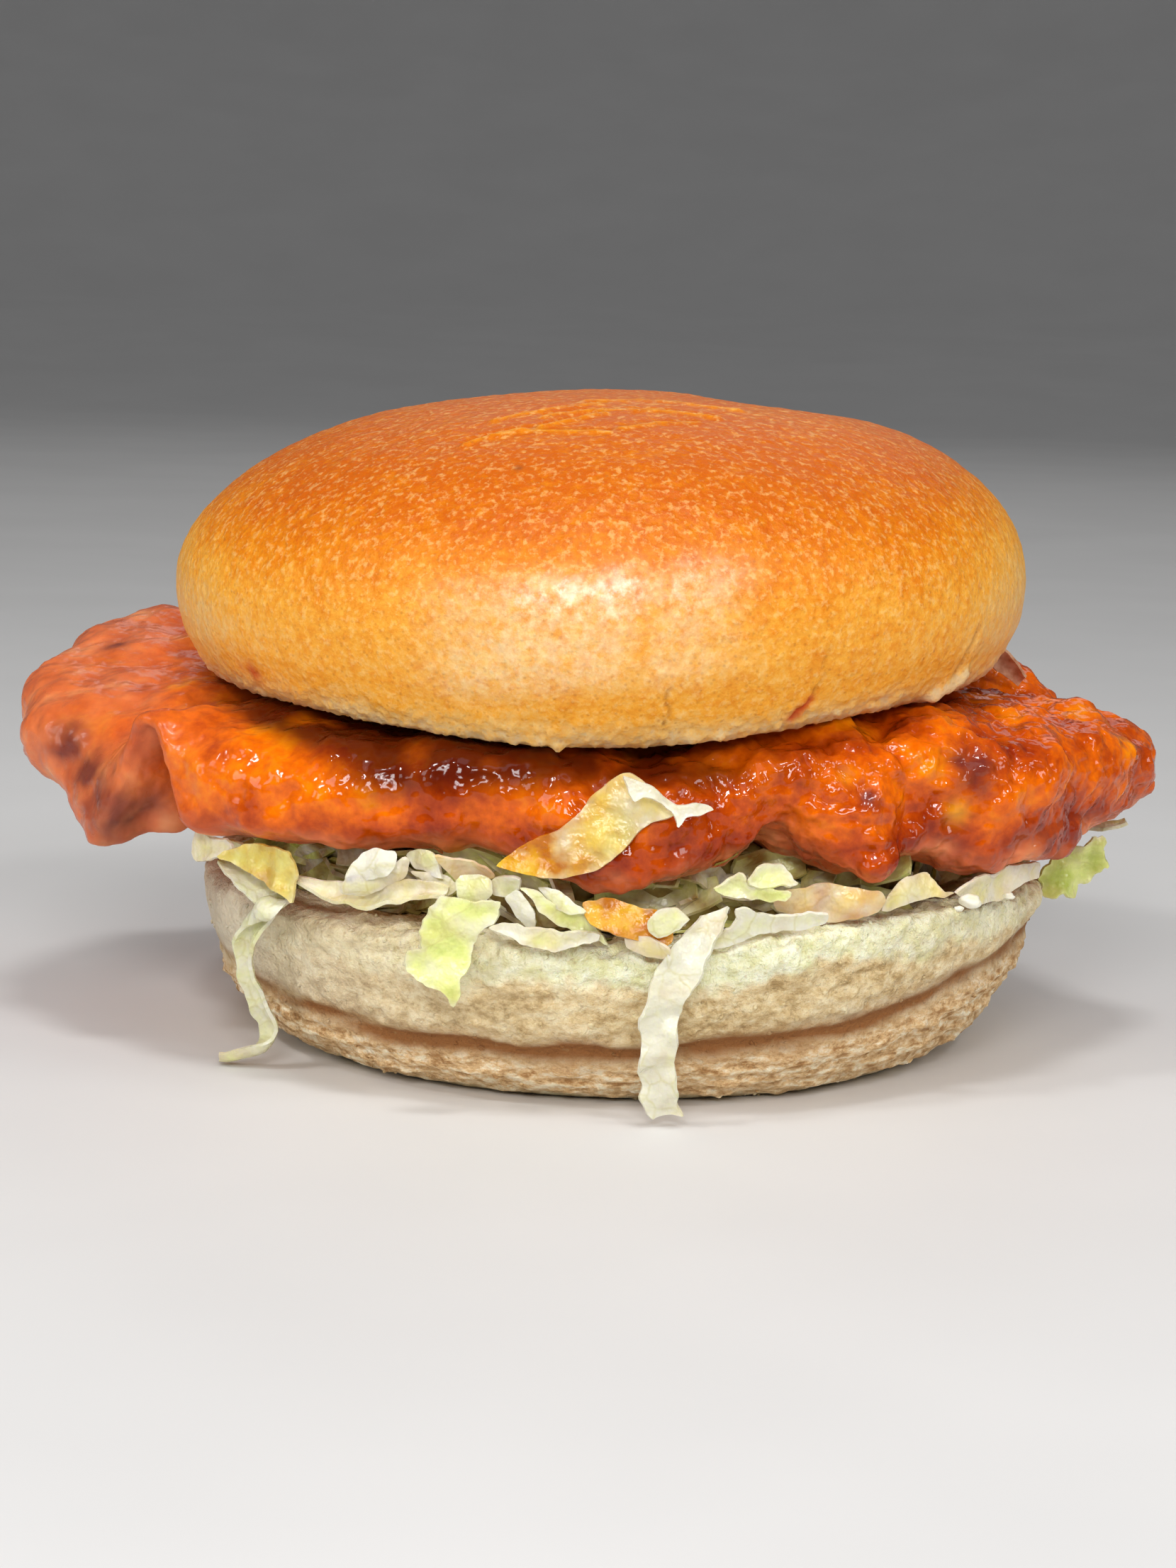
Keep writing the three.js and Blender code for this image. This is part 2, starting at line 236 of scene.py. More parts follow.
def columns(count, density=1.3):
    """Angles round a piece in degrees, closest together at the front."""
    dense = np.linspace(0, 360, 3601)
    weight = 1 + density * bell(dense, FRONT, 75)
    total = np.concatenate([[0], np.cumsum((weight[1:] + weight[:-1]) / 2)])
    return np.interp(np.arange(count) / count * total[-1], total, dense)


# Skins: closed grids of rings by columns whose first and last ring are the two poles

def skin_normals(grid):
    around = np.roll(grid, -1, axis=1) - np.roll(grid, 1, axis=1)
    climb = np.gradient(grid, axis=0)
    normals = np.cross(around, climb)
    length = np.linalg.norm(normals, axis=-1, keepdims=True)
    normals /= np.where(length > 1e-9, length, 1)
    normals[0], normals[-1] = (0, 0, -1), (0, 0, 1)
    return normals


def skin_flat(values):
    """Values of a grid in the order of its vertices: first pole, rings, last pole."""
    return np.concatenate([values[0, :1], values[1:-1].reshape(-1, *values.shape[2:]), values[-1, :1]])


def skin_faces(rings, around):
    at = 1 + np.arange((rings - 2) * around).reshape(rings - 2, around)
    turned = np.roll(at, -1, axis=1)
    quads = np.stack([at[:-1], turned[:-1], turned[1:], at[1:]], axis=-1).reshape(-1, 4)
    last = 1 + (rings - 2) * around
    low = [(0, b, a) for a, b in zip(at[0].tolist(), turned[0].tolist())]
    high = [(a, b, last) for a, b in zip(at[-1].tolist(), turned[-1].tolist())]
    return quads.tolist() + low + high


def in_scene(name, data):
    """A new object of the data, linked to the scene."""
    made = bpy.data.objects.new(name, data)
    bpy.context.scene.collection.objects.link(made)
    return made


def shade_smooth(mesh):
    """Smooth shading on every face."""
    mesh.polygons.foreach_set("use_smooth", np.ones(len(mesh.polygons), bool))


def set_mask(mesh, label, values):
    """Stores a value for each vertex, for a finish or a recipe to read."""
    layer = mesh.attributes.new(label, "FLOAT", "POINT")
    layer.data.foreach_set("value", values.astype(np.float32))


def make_piece(name, points, faces, finish, masks):
    """A mesh object from drawing-frame points, with a float attribute for each mask."""
    mesh = bpy.data.meshes.new(name)
    mesh.from_pydata(place(points).tolist(), [], faces)
    shade_smooth(mesh)
    for label, values in masks.items():
        set_mask(mesh, label, values)
    mesh.materials.append(finish)
    mesh.validate()
    return in_scene(name, mesh)


def skin_piece(name, grid, finish, masks):
    flat_masks = {label: skin_flat(values) for label, values in masks.items()}
    return make_piece(name, skin_flat(grid), skin_faces(grid.shape[0], grid.shape[1]), finish, flat_masks)


def surface_of(piece):
    """A search tree over a piece, in metres."""
    mesh = piece.data
    return BVHTree.FromPolygons([v.co for v in mesh.vertices], [p.vertices for p in mesh.polygons])


def pressed_clear(points, surfaces, gap):
    """Points in metres, moved out of the closed surfaces and at least `gap` mm off them."""
    moved = []
    for point in points:
        spot = Vector(point)
        for surface in surfaces:
            near, normal, _, away = surface.find_nearest(spot)
            if (spot - near).dot(normal) < 0 or away < gap * MM:
                spot = near + normal * (gap * MM)
        moved.append(spot)
    return moved


def press_mesh_clear(piece, surfaces, gap):
    """The same for a whole piece, kept over the table too."""
    moved = np.array(pressed_clear([v.co for v in piece.data.vertices], surfaces, gap), float)
    moved[:, 2] = np.maximum(moved[:, 2], 0)
    piece.data.vertices.foreach_set("co", moved.ravel())
    piece.data.update()


def thicken(piece, thickness):
    """Gives a sheet its thickness in mm, half to each side."""
    solid = piece.modifiers.new("thickness", "SOLIDIFY")
    solid.thickness = thickness * MM
    solid.offset = 0


def plain_copy(source, name, finish):
    """A plain mesh object of what the source's modifiers make; the source is removed."""
    bpy.context.view_layer.update()
    graph = bpy.context.evaluated_depsgraph_get()
    mesh = bpy.data.meshes.new_from_object(source.evaluated_get(graph), depsgraph=graph)
    bpy.data.objects.remove(source)
    mesh.name = name
    mesh.materials.clear()
    mesh.materials.append(finish)
    mesh.polygons.foreach_set("material_index", np.zeros(len(mesh.polygons), np.int32))
    mesh.set_sharp_from_angle(angle=SHARP_ANGLE)
    return in_scene(name, mesh)


def attach(piece, slot, *nodes):
    """The piece moves with the burger and stands for the named nodes, which are hidden; its slot is not used.
    """
    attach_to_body(piece, "root")
    if nodes:
        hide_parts(*nodes)
    return piece


# Node trees, built one call at a time

class Tree:
    def __init__(self, tree):
        self.tree = tree

    def feed(self, socket, value):
        if isinstance(value, bpy.types.NodeSocket):
            self.tree.links.new(value, socket)
        else:
            socket.default_value = value

    def add(self, kind, inputs=None, **settings):
        node = self.tree.nodes.new(kind)
        for key, value in settings.items():
            setattr(node, key, value)
        for key, value in (inputs or {}).items():
            self.feed(node.inputs[key], value)
        return node

    def math(self, operation, a, b=0.0, clamp=False):
        return self.add("ShaderNodeMath", {0: a, 1: b}, operation=operation, use_clamp=clamp).outputs[0]

    def plus(self, a, b):
        return self.math("ADD", a, b)

    def times(self, a, b, clamp=False):
        return self.math("MULTIPLY", a, b, clamp)

    def vector(self, operation, a, b=None, scale=None):
        given = {0: a}
        if b is not None:
            given[1] = b
        if scale is not None:
            given["Scale"] = scale
        node = self.add("ShaderNodeVectorMath", given, operation=operation)
        return node.outputs["Value" if operation == "LENGTH" else "Vector"]

    def span(self, value, low, high, out_low=0.0, out_high=1.0):
        """Value from low..high to out_low..out_high, clamped."""
        given = {"Value": value, "From Min": low, "From Max": high, "To Min": out_low, "To Max": out_high}
        return self.add("ShaderNodeMapRange", given).outputs[0]


class Finish(Tree):
    """A material on one Principled shader; its patterns read Object coordinates in metres."""

    def __init__(self, name, **shader):
        self.material = bpy.data.materials.new(name)
        self.material.use_nodes = True
        super().__init__(self.material.node_tree)
        self.shader = self.tree.nodes["Principled BSDF"]
        self.set(**shader)
        self.spot = self.add("ShaderNodeTexCoord").outputs["Object"]

    def set(self, **shader):
        for label, value in shader.items():
            self.feed(self.shader.inputs[label.replace("_", " ")], value)

    def fleshy(self, weight, radius, depth):
        """Light sinks in: its share, its reach in each colour and its depth in mm."""
        self.set(Subsurface_Weight=weight, Subsurface_Radius=radius, Subsurface_Scale=depth * MM)

    def grain(self, size, detail=2.0, rough=0.5, stretch=(1, 1, 1)):
        """Noise from 0 to 1 with lumps of `size` mm."""
        spot = self.spot
        if stretch != (1, 1, 1):
            spot = self.add("ShaderNodeMapping", {"Vector": self.spot, "Scale": stretch}).outputs[0]
        given = {"Vector": spot, "Scale": 1 / (size * MM), "Detail": detail, "Roughness": rough}
        return self.add("ShaderNodeTexNoise", given).outputs["Fac"]

    def pores(self, size):
        """Distance to the nearest of scattered points `size` mm apart, from 0."""
        given = {"Vector": self.spot, "Scale": 1 / (size * MM)}
        return self.add("ShaderNodeTexVoronoi", given).outputs["Distance"]

    def cells(self, size):
        """0 on the lines of an irregular network with meshes of `size` mm, growing away from them."""
        scale = 1 / (size * MM)
        wander = self.add("ShaderNodeTexNoise", {"Vector": self.spot, "Scale": scale}).outputs["Color"]
        spot = self.vector("ADD", self.spot, self.vector("SCALE", wander, scale=0.6 * size * MM))
        given = {"Vector": spot, "Scale": scale}
        return self.add("ShaderNodeTexVoronoi", given, feature="DISTANCE_TO_EDGE").outputs["Distance"]

    def stirred(self, value, amount, *grain):
        """The value with noise of that grain laid over it, as much up as down."""
        return self.plus(value, self.times(self.math("SUBTRACT", self.grain(*grain), 0.5), amount))

    def mask(self, label):
        return self.add("ShaderNodeAttribute", attribute_name=label).outputs["Fac"]

    def ramp(self, value, *stops):
        node = self.add("ShaderNodeValToRGB", {"Fac": value})
        elements = node.color_ramp.elements
        while len(elements) < len(stops):
            elements.new(0.5)
        for element, (at, colour) in zip(elements, stops):
            element.position = at
            element.color = (*colour, 1)
        return node.outputs["Color"]

    def blend(self, share, a, b):
        a, b = ((*c, 1) if isinstance(c, tuple) else c for c in (a, b))
        return self.add("ShaderNodeMix", {0: share, 6: a, 7: b}, data_type="RGBA").outputs[2]

    def bump(self, *layers):
        """Layers of (height, depth in mm), coarse first."""
        normal = None
        for height, depth in layers:
            given = {"Height": height, "Distance": depth * MM, "Strength": 1.0}
            if normal is not None:
                given["Normal"] = normal
            normal = self.add("ShaderNodeBump", given).outputs[0]
        self.set(Normal=normal)


class Recipe(Tree):
    """A Geometry Nodes tree with named inputs, run on an object and turned into a plain mesh."""

    def __init__(self, name, **inputs):
        tree = bpy.data.node_groups.new(name, "GeometryNodeTree")
        super().__init__(tree)
        face = tree.interface
        face.new_socket("Geometry", in_out="INPUT", socket_type="NodeSocketGeometry")
        self.keys = {}
        for label, kind in inputs.items():
            given = {"in_out": "INPUT", "socket_type": "NodeSocket" + kind}
            self.keys[label] = face.new_socket(label.replace("_", " "), **given).identifier
        face.new_socket("Geometry", in_out="OUTPUT", socket_type="NodeSocketGeometry")
        self.given = tree.nodes.new("NodeGroupInput").outputs

    def value(self, label):
        return self.given[label.replace("_", " ")]

    def close(self, geometry):
        """Ends the tree in Realize Instances and Set Material."""
        real = self.add("GeometryNodeRealizeInstances", {"Geometry": geometry}).outputs[0]
        dressed = self.add("GeometryNodeSetMaterial", {"Geometry": real, "Material": self.value("Finish")})
        self.tree.links.new(dressed.outputs[0], self.tree.nodes.new("NodeGroupOutput").inputs[0])

    def run(self, carrier, name, thickness=0.0, **values):
        """A new plain mesh object made by this tree on the carrier, which is removed."""
        modifier = carrier.modifiers.new(name, "NODES")
        modifier.node_group = self.tree
        for label, value in values.items():
            modifier[self.keys[label]] = value
        if thickness:
            thicken(carrier, thickness)
        return plain_copy(carrier, name, values["Finish"])


# Finishes

VEIN_SIZE = 3.6  # mm, meshes of a leaf's net of veins


def crust_finish():
    """Glazed browned crust: `bake` runs from the pale lower edge to the deep orange top."""
    f = Finish("glazed_crust", Specular_IOR_Level=0.2, Coat_Roughness=0.36, Coat_IOR=2.5)
    f.fleshy(0.1, (1.0, 0.35, 0.05), 1.5)
    f.set(Coat_Weight=f.times(f.mask("glaze"), f.span(f.grain(1.8, 4, 0.7), 0.4, 0.58, 0.2, 0.9)))
    bake = f.stirred(f.mask("bake"), 0.85, 1.3, 5, 0.7)
    colour = f.ramp(
        f.stirred(bake, 0.35, 6, 3),
        (0.0, (0.78, 0.56, 0.28)),
        (0.18, (0.86, 0.5, 0.14)),
        (0.42, (0.87, 0.38, 0.035)),
        (0.7, (0.74, 0.215, 0.002)),
        (1.0, (0.6, 0.115, 0.001)),
    )
    colour = f.blend(f.span(f.pores(1.0), 0.0, 0.3, 0.55, 0.0), colour, (0.46, 0.15, 0.015))
    colour = f.blend(f.span(f.grain(0.9, 3, 0.6), 0.52, 0.68, 0.0, 0.4), colour, (0.95, 0.62, 0.22))
    # Painted highlight: a pale greenish-white tint mottled over the glossy patch.
    painted_highlight = f.times(f.mask("glaze"), f.span(f.grain(1.5, 4, 0.7), 0.4, 0.6, 0.05, 0.35))
    colour = f.blend(painted_highlight, colour, (0.9, 0.84, 0.42))
    # Painted shade in the crown's folds and cracks, and one real dark speck.
    colour = f.blend(f.mask("crease"), colour, (0.3, 0.08, 0.012))
    f.set(Base_Color=f.blend(f.mask("sauce"), colour, (0.5, 0.03, 0.004)))
    f.set(Roughness=f.plus(f.span(f.grain(1.1, 2), 0.3, 0.7, 0.36, 0.5), f.mask("dry")))
    f.bump((f.grain(2.6, 3), 0.3), (f.grain(0.9, 3, 0.6), 0.2))
    return f.material


def crumb_finish():
    """Pale torn crumb of the heel, with its crease brown and darkened with painted shade, tan lip and the
    dressing soaked into its rim.
    """
    f = Finish("torn_crumb", Specular_IOR_Level=0.3)
    f.fleshy(0.2, (1.0, 0.7, 0.4), 1.5)
    granular = f.grain(1.7, 5, 0.7, (0.8, 0.8, 1.2))
    wall = f.ramp(
        f.stirred(granular, 0.5, 9, 2, 0.5, (0.6, 0.6, 1.6)),
        (0.32, (0.5, 0.34, 0.15)),
        (0.46, (0.76, 0.58, 0.31)),
        (0.64, (0.93, 0.8, 0.52)),
    )
    wall = f.blend(f.mask("grey"), wall, (0.7, 0.64, 0.5))
    flaky = f.grain(1.5, 4, 0.65, (0.7, 0.7, 1.5))
    lip = f.ramp(flaky, (0.36, (0.42, 0.22, 0.08)), (0.5, (0.78, 0.53, 0.27)), (0.64, (0.97, 0.84, 0.6)))
    colour = f.blend(f.mask("lip"), wall, lip)
    # The crease: a brown streak and painted shade under the wall above it.
    colour = f.blend(f.mask("crease"), colour, (0.28, 0.11, 0.03))
    soaked = f.ramp(f.grain(2.2, 4, 0.6), (0.38, (0.78, 0.76, 0.42)), (0.6, (0.95, 0.95, 0.72)))
    colour = f.blend(f.mask("dressing"), colour, soaked)
    colour = f.blend(f.span(f.pores(1.5), 0.0, 0.22, 0.55, 0.0), colour, (0.42, 0.26, 0.11))
    f.set(Base_Color=f.blend(f.mask("toast"), colour, (0.6, 0.36, 0.14)))
    f.set(Roughness=f.span(f.mask("dressing"), 0, 1, 0.8, 0.5))
    f.bump((f.grain(2.4, 4, 0.65), 0.9), (f.grain(0.8, 3, 0.6), 0.4))
    return f.material


def sauce_finish():
    """Wet hot sauce over batter: deep red in hollows, orange where thin, paler and duller on the left;
    painted shade on the lower front and a painted shadow under the crown.
    """
    f = Finish("hot_sauce_batter", Specular_IOR_Level=0.33)
    f.fleshy(0.06, (1.0, 0.12, 0.01), 1.2)
    thin = f.stirred(f.mask("rise"), 0.7, 7, 3)
    colour = f.ramp(
        f.stirred(thin, 0.7, 1.4, 4, 0.6),
        (0.0, (0.26, 0.018, 0.0)),
        (0.35, (0.53, 0.066, 0.0)),
        (0.62, (0.8, 0.14, 0.0)),
        (1.0, (0.97, 0.3, 0.0)),
    )
    salmon = f.ramp(
        f.grain(5, 3), (0.3, (0.58, 0.12, 0.04)), (0.55, (0.76, 0.2, 0.07)), (0.75, (0.84, 0.32, 0.13)),
    )
    colour = f.blend(f.mask("pale"), colour, salmon)
    # Purple-brown patches, and painted shade at the fillet's lower left edge.
    colour = f.blend(f.mask("bruise"), colour, (0.14, 0.022, 0.018))
    colour = f.blend(f.mask("batter"), colour, (0.88, 0.36, 0.015))
    # Painted shadow of the crown: the fillet's top under the crown's front edge goes a near-black red.
    f.set(Base_Color=f.blend(f.mask("pooled"), colour, (0.09, 0.006, 0.0)))
    f.set(Roughness=f.plus(f.span(f.grain(3, 2), 0.35, 0.7, 0.07, 0.13), f.mask("dull")))
    grainy = f.mask("grainy")
    f.bump((f.times(f.grain(2.8, 1), grainy), 1.2), (f.times(f.grain(1.1, 0.5), grainy), 0.26))
    return f.material


def lettuce_finish(name, shade):
    """Iceberg lettuce: `tint` runs from white rib to green leaf, `stain` is sauce on it; `shade` darkens and
    browns it as painted shade.
    """
    f = Finish(name, Specular_IOR_Level=0.5)
    f.fleshy(0.3, (0.8, 1.0, 0.3), 1.2)
    colour = f.ramp(
        f.stirred(f.mask("tint"), 1.3, 4, 4, 0.6),
        (0.0, (0.8, 0.78, 0.62)),
        (0.3, (0.8, 0.8, 0.46)),
        (0.6, (0.78, 0.84, 0.29)),
        (1.0, (0.5, 0.6, 0.1)),
    )
    # Brown soil patches; with shade they grow darker and wider, as painted shade.
    soil_and_shade = f.times(f.span(f.grain(5.5, 3), 0.5 - 0.2 * shade, 0.68), 0.3 + shade, clamp=True)
    colour = f.blend(soil_and_shade, colour, (0.5 - 0.35 * shade, 0.28 - 0.22 * shade, 0.06 - 0.05 * shade))
    edges = f.cells(VEIN_SIZE)
    veins = f.times(f.span(edges, 0.0, 0.07, 1.0, 0.0), f.span(f.grain(6, 2), 0.4, 0.6, 0.05, 0.4))
    colour = f.blend(veins, colour, (0.56, 0.5, 0.16))
    soaked = f.ramp(
        f.grain(3.4, 3), (0.35, (0.5, 0.15, 0.0)), (0.5, (0.68, 0.3, 0.002)), (0.65, (0.8, 0.46, 0.03)),
    )
    smear = f.times(f.mask("stain"), f.span(f.grain(4, 3), 0.35, 0.6, 0.6, 1.3), clamp=True)
    f.set(Base_Color=f.blend(smear, colour, soaked))
    f.set(Roughness=f.span(f.grain(2.5), 0.3, 0.7, 0.2, 0.4))
    ridges = f.span(edges, 0.0, 0.2, 1.0, 0.0)
    f.bump((f.grain(3.0, 3), 0.7), (ridges, 0.06), (f.grain(1.0, 2), 0.12))
    return f.material


def shaded_core_finish():
    """Inside of the lettuce heap, seen only through gaps, coloured dark brown as painted shade."""
    f = Finish("lettuce_core", Roughness=0.5)
    shades = (0.3, (0.12, 0.06, 0.01)), (0.55, (0.3, 0.22, 0.05)), (0.75, (0.5, 0.48, 0.18))
    f.set(Base_Color=f.ramp(f.grain(3, 3), *shades))
    f.bump((f.grain(3, 3), 1.0))
    return f.material


def onion_finish():
    """Translucent sliver stained by the sauce."""
    f = Finish("stained_onion", Roughness=0.25, Specular_IOR_Level=0.6)
    f.fleshy(0.3, (1.0, 0.5, 0.3), 1.5)
    f.set(Base_Color=f.ramp(f.grain(1.6, 3), (0.3, (0.42, 0.16, 0.07)), (0.7, (0.74, 0.46, 0.3))))
    f.bump((f.grain(1.2, 2), 0.15))
    return f.material


def dressing_finish():
    f = Finish("creamy_dressing", Roughness=0.3, Specular_IOR_Level=0.5)
    f.fleshy(0.3, (1.0, 0.9, 0.6), 1.0)
    f.set(Base_Color=f.ramp(f.grain(1.5, 2), (0.35, (0.78, 0.74, 0.55)), (0.65, (0.9, 0.88, 0.76))))
    f.bump((f.grain(1.0, 2), 0.1))
    return f.material


# Crown of the bun

CROWN_PROFILE = [  # share of the radius, height over the cut face
    (0, -1), (0.45, -1), (0.8, -0.5), (0.87, 0.1), (0.905, 0.7), (0.935, 2.2), (0.96, 4.3), (0.987, 7.6),
    (1, 12), (0.993, 16.5), (0.965, 20.8), (0.918, 24.6), (0.855, 27.9), (0.775, 30.9), (0.675, 33.5),
    (0.56, 35.6), (0.42, 37.1), (0.25, 38.1), (0, CROWN_HEIGHT),
]
CROWN_WRINKLES = [  # paths of folds on the front of the top, with width and depth
    ([(-19.5, -33.6, 83.4), (-17.7, -32.2, 83.9), (-10.2, -30.4, 85.4), (-1.7, -24.8, 86.9)], 0.8, 0.5),
    ([(-9.3, -25, 86.4), (-2, -22.8, 87.1), (6, -22.2, 87.4), (13, -23.4, 87.1)], 0.8, 0.45),
    ([(0.5, -32, 85.6), (5, -29, 86.1), (10.4, -27.2, 86.5)], 0.7, 0.35),
    ([(-15.8, -24.9, 85.8), (-9, -21, 86.9), (-2, -18.6, 87.7)], 0.8, 0.4),
    ([(-12.4, -31.5, 84.8), (-6.5, -32.7, 85.1), (-1, -33.4, 85.2)], 0.6, 0.3),
    ([(-4, -16, 88), (6, -15, 88.2), (16, -17, 87.9)], 0.9, 0.35),
]
CROWN_CRACKS = [  # path, width, depth
    ([(7.2, -56, 55.6), (6.6, -55.5, 53.8), (7.3, -55, 52.4), (6.7, -54, 50.6)], 0.2, 0.45),
    ([(27.3, -50.4, 60.2), (26.4, -50.3, 58.3), (26.9, -49.9, 56.6), (25.6, -49.4, 55.0)], 0.2, 0.25),
    ([(25.6, -49.4, 55.0), (24.9, -48.9, 53.4), (23.6, -48.8, 52.0), (22.6, -48.4, 50.9)], 0.24, 0.45),
    ([(47.3, -31, 60.5), (45.6, -31.6, 57.2), (44.4, -31, 54.5)], 0.5, 0.45),
    ([(49.5, -28, 57.5), (47, -29, 55.4)], 0.4, 0.35),
    ([(2.8, -56.9, 66.7), (3.9, -57.2, 64.5), (4.6, -57.5, 62.5)], 0.25, 0.18),
    ([(-14.3, -56.3, 60.8), (-13.2, -56.3, 58.6), (-12.9, -56.1, 56)], 0.25, 0.14),
]
# The glossy patch on the crown's front also carries a painted highlight; these place and shape it.
GLOSS_HIGHLIGHT_GAP = [(6, -52, 74), (5, -57, 65), (3, -58, 57)]  # parts the glossy patch in two
GLOSS_HIGHLIGHT_MIDDLE = (-3.5, 62.5)  # of the patch, across and up
GLOSS_HIGHLIGHT_HALF = (19, 7.5)
GLOSS_HIGHLIGHT_SLOPE = 0.12
CROWN_NUBS = [
    (-9.2, -52, 47.4), (-6.3, -52.4, 47.0), (-12, -51.2, 47.6), (10.6, -51.7, 48.3), (13.5, -50.8, 48.6),
]
FLAP_PATH = [(46.5, -29.5, 54.4), (44, -30.6, 53.4), (41, -32.5, 52.4)]
SPECK = (-12.3, -43, 80.7)
SAUCE_SPOTS = [(-45.9, -33.2, 52.9), (-47.6, -31, 53.3)]


def crown_skin():
    """Rings by columns of the crown without its small features, and each point's height over the cut."""
    profile = rounded([(r * CROWN_RADIUS, z) for r, z in CROWN_PROFILE])
    spots = at_shares(profile, stretches((0.3, 20), (0.64, 94), (1.0, 80)))
    angle = columns(488)[None, :]
    turn = np.radians(angle)
    radius, z = np.maximum(spots[:, :1], 0), spots[:, 1:]
    share = radius / CROWN_RADIUS
    dent = 1.4 * bell(angle, 15, 34) * hump(share, 0.42, 0.2)
    hang = 4.4 * bell(angle, FRONT, 36) * share**2 * np.exp(-z / 9)
    fall = 1.3 * bell(angle, 180, 60) * share * smoothstep(z, 0.3 * CROWN_HEIGHT, 0.7 * CROWN_HEIGHT)
    lift = -smoothstep(z, 0.6 * CROWN_HEIGHT, 0.95 * CROWN_HEIGHT) * dent - hang - fall
    reach = radius * (1 + 0.005 * np.cos(2 * turn))
    x, y, up = reach * np.cos(turn), reach * np.sin(turn), z + lift
    tilted = x * math.cos(CROWN_TILT) + up * math.sin(CROWN_TILT)
    height = -x * math.sin(CROWN_TILT) + up * math.cos(CROWN_TILT)
    grid = np.stack([tilted + CROWN_X, y + 0 * up, height + CROWN_CUT_Z], axis=-1)
    return grid, z + 0 * angle


def build_crown(finish, fillet_surface):
    grid, height = crown_skin()
    normals = skin_normals(grid)
    dome = smoothstep(height, 1, 8)
    edge = smoothstep(height, -0.6, 0.6) * (1 - smoothstep(height, 2.2, 5.5))
    out = dome * (0.35 * swell(grid, 24, 1) + 0.16 * swell(grid, 9, 2) + 0.05 * swell(grid, 2.4, 3))
    frayed = 0.3 * swell(grid, 3.4, 4) + 0.5 * swell(grid, 0.9, 5)
    out += edge * (frayed + 0.25 * np.maximum(swell(grid, 1.5, 9), 0.1))
    out += dome * (0.12 * swell(grid, 1.4, 7) - 0.1 * np.abs(swell(grid, 5, 8)))
    # crease darkens the folds and cracks as painted shade and marks one real dark speck; the fold shoulders
    # are painted paler as a painted highlight.
    crease, painted_crest_light = np.zeros(height.shape), np.zeros(height.shape)
    for path, width, depth in CROWN_WRINKLES:
        fold = near_path(grid, normals, path, 0.8 * width)
        shoulder = near_path(grid + np.array([0, 1.1, 0]), normals, path, width)
        out += 0.9 * depth * shoulder - 1.1 * depth * fold
        crease = np.maximum(crease, 0.3 * fold)
        painted_crest_light = np.maximum(painted_crest_light, shoulder * (1 - fold))
    for path, width, depth in CROWN_CRACKS:
        crack = near_path(grid, normals, path, width)
        out += 0.35 * depth * near_path(grid, normals, path, 3 * width) - 1.35 * depth * crack
        crease = np.maximum(crease, min(0.9 * depth, 0.7) * crack)
    for nub in CROWN_NUBS:
        out += 0.6 * near_spot(grid, nub, 1.0)
    flap = near_path(grid, normals, FLAP_PATH, 0.9)
    out += 1.1 * flap
    grid = grid + normals * out[..., None]

    x, y, z = np.moveaxis(grid, -1, 0)
    # A glossy coat patch on the front, which also carries the painted highlight in the colour.
    glaze = hump(x, GLOSS_HIGHLIGHT_MIDDLE[0], GLOSS_HIGHLIGHT_HALF[0], 6)
    glaze *= hump(z - GLOSS_HIGHLIGHT_SLOPE * x, GLOSS_HIGHLIGHT_MIDDLE[1], GLOSS_HIGHLIGHT_HALF[1], 6)
    glaze *= np.clip(1.1 + swell(grid, 7, 10), 0, 1) * (1 - 0.7 * near_path(grid, normals, GLOSS_HIGHLIGHT_GAP, 2.0))
    bake = 0.1 + 0.36 * smoothstep(height, 0.5, 5) + 0.52 * smoothstep(height, 9, 31)
    bake -= 0.26 * smoothstep(np.abs(x + 2), 38, 60) * (1 - smoothstep(height, 22, 36))
    # The torn flap shows paler crust; the fold crests are painted paler as a painted highlight.
    bake -= 0.5 * flap + 0.4 * painted_crest_light
    sauce = np.maximum(near_spot(grid, SAUCE_SPOTS[0], 1.5), 0.7 * near_spot(grid, SAUCE_SPOTS[1], 0.9))
    sauce = np.maximum(sauce, 0.9 * near_path(grid, normals, CROWN_CRACKS[2][0][1:], 0.7))
    masks = {
        "bake": bake + 0.05 * swell(grid, 14, 6),
        "crease": np.clip(np.maximum(crease, near_spot(grid, SPECK, 0.55)), 0, 1),
        "glaze": glaze * (y < 0),
        "sauce": np.clip(sauce, 0, 1),
        "dry": 0.3 * (1 - smoothstep(height, 2, 9)),
    }
    low_rings = np.where(height.min(axis=1) < 12)[0]
    cleared = pressed_clear(place(grid[low_rings]).reshape(-1, 3), [fillet_surface], CROWN_GAP)
    grid[low_rings] = drawn(cleared).reshape(grid[low_rings].shape)
    return attach(skin_piece("glazed_crown", grid, finish, masks), "bun_crust", "crown_bun")


# Heel of the bun

HEEL_PROFILE = [  # share of the radius, height over the table
    (0, 0), (0.36, 0), (0.71, 0), (0.785, 0.7), (0.843, 2.6), (0.885, 5.2), (0.915, 7.9), (0.94, 10.6),
    (0.963, 13.6), (0.983, 16.6), (0.995, 19.3), (0.992, HEEL_RIM_Z - 1.4), (0.965, HEEL_RIM_Z - 0.2),
    (0.92, HEEL_RIM_Z), (0.8, HEEL_RIM_Z - 0.9), (0.5, HEEL_RIM_Z - 1.6), (0, HEEL_RIM_Z - 1.8),
]


def crease_height(angle):
    """Where the crease runs: low at the front left and climbing to the right."""
    return 12.5 - 4.9 * bell(angle, 256, 50) + 4.5 * bell(angle, 345, 26)


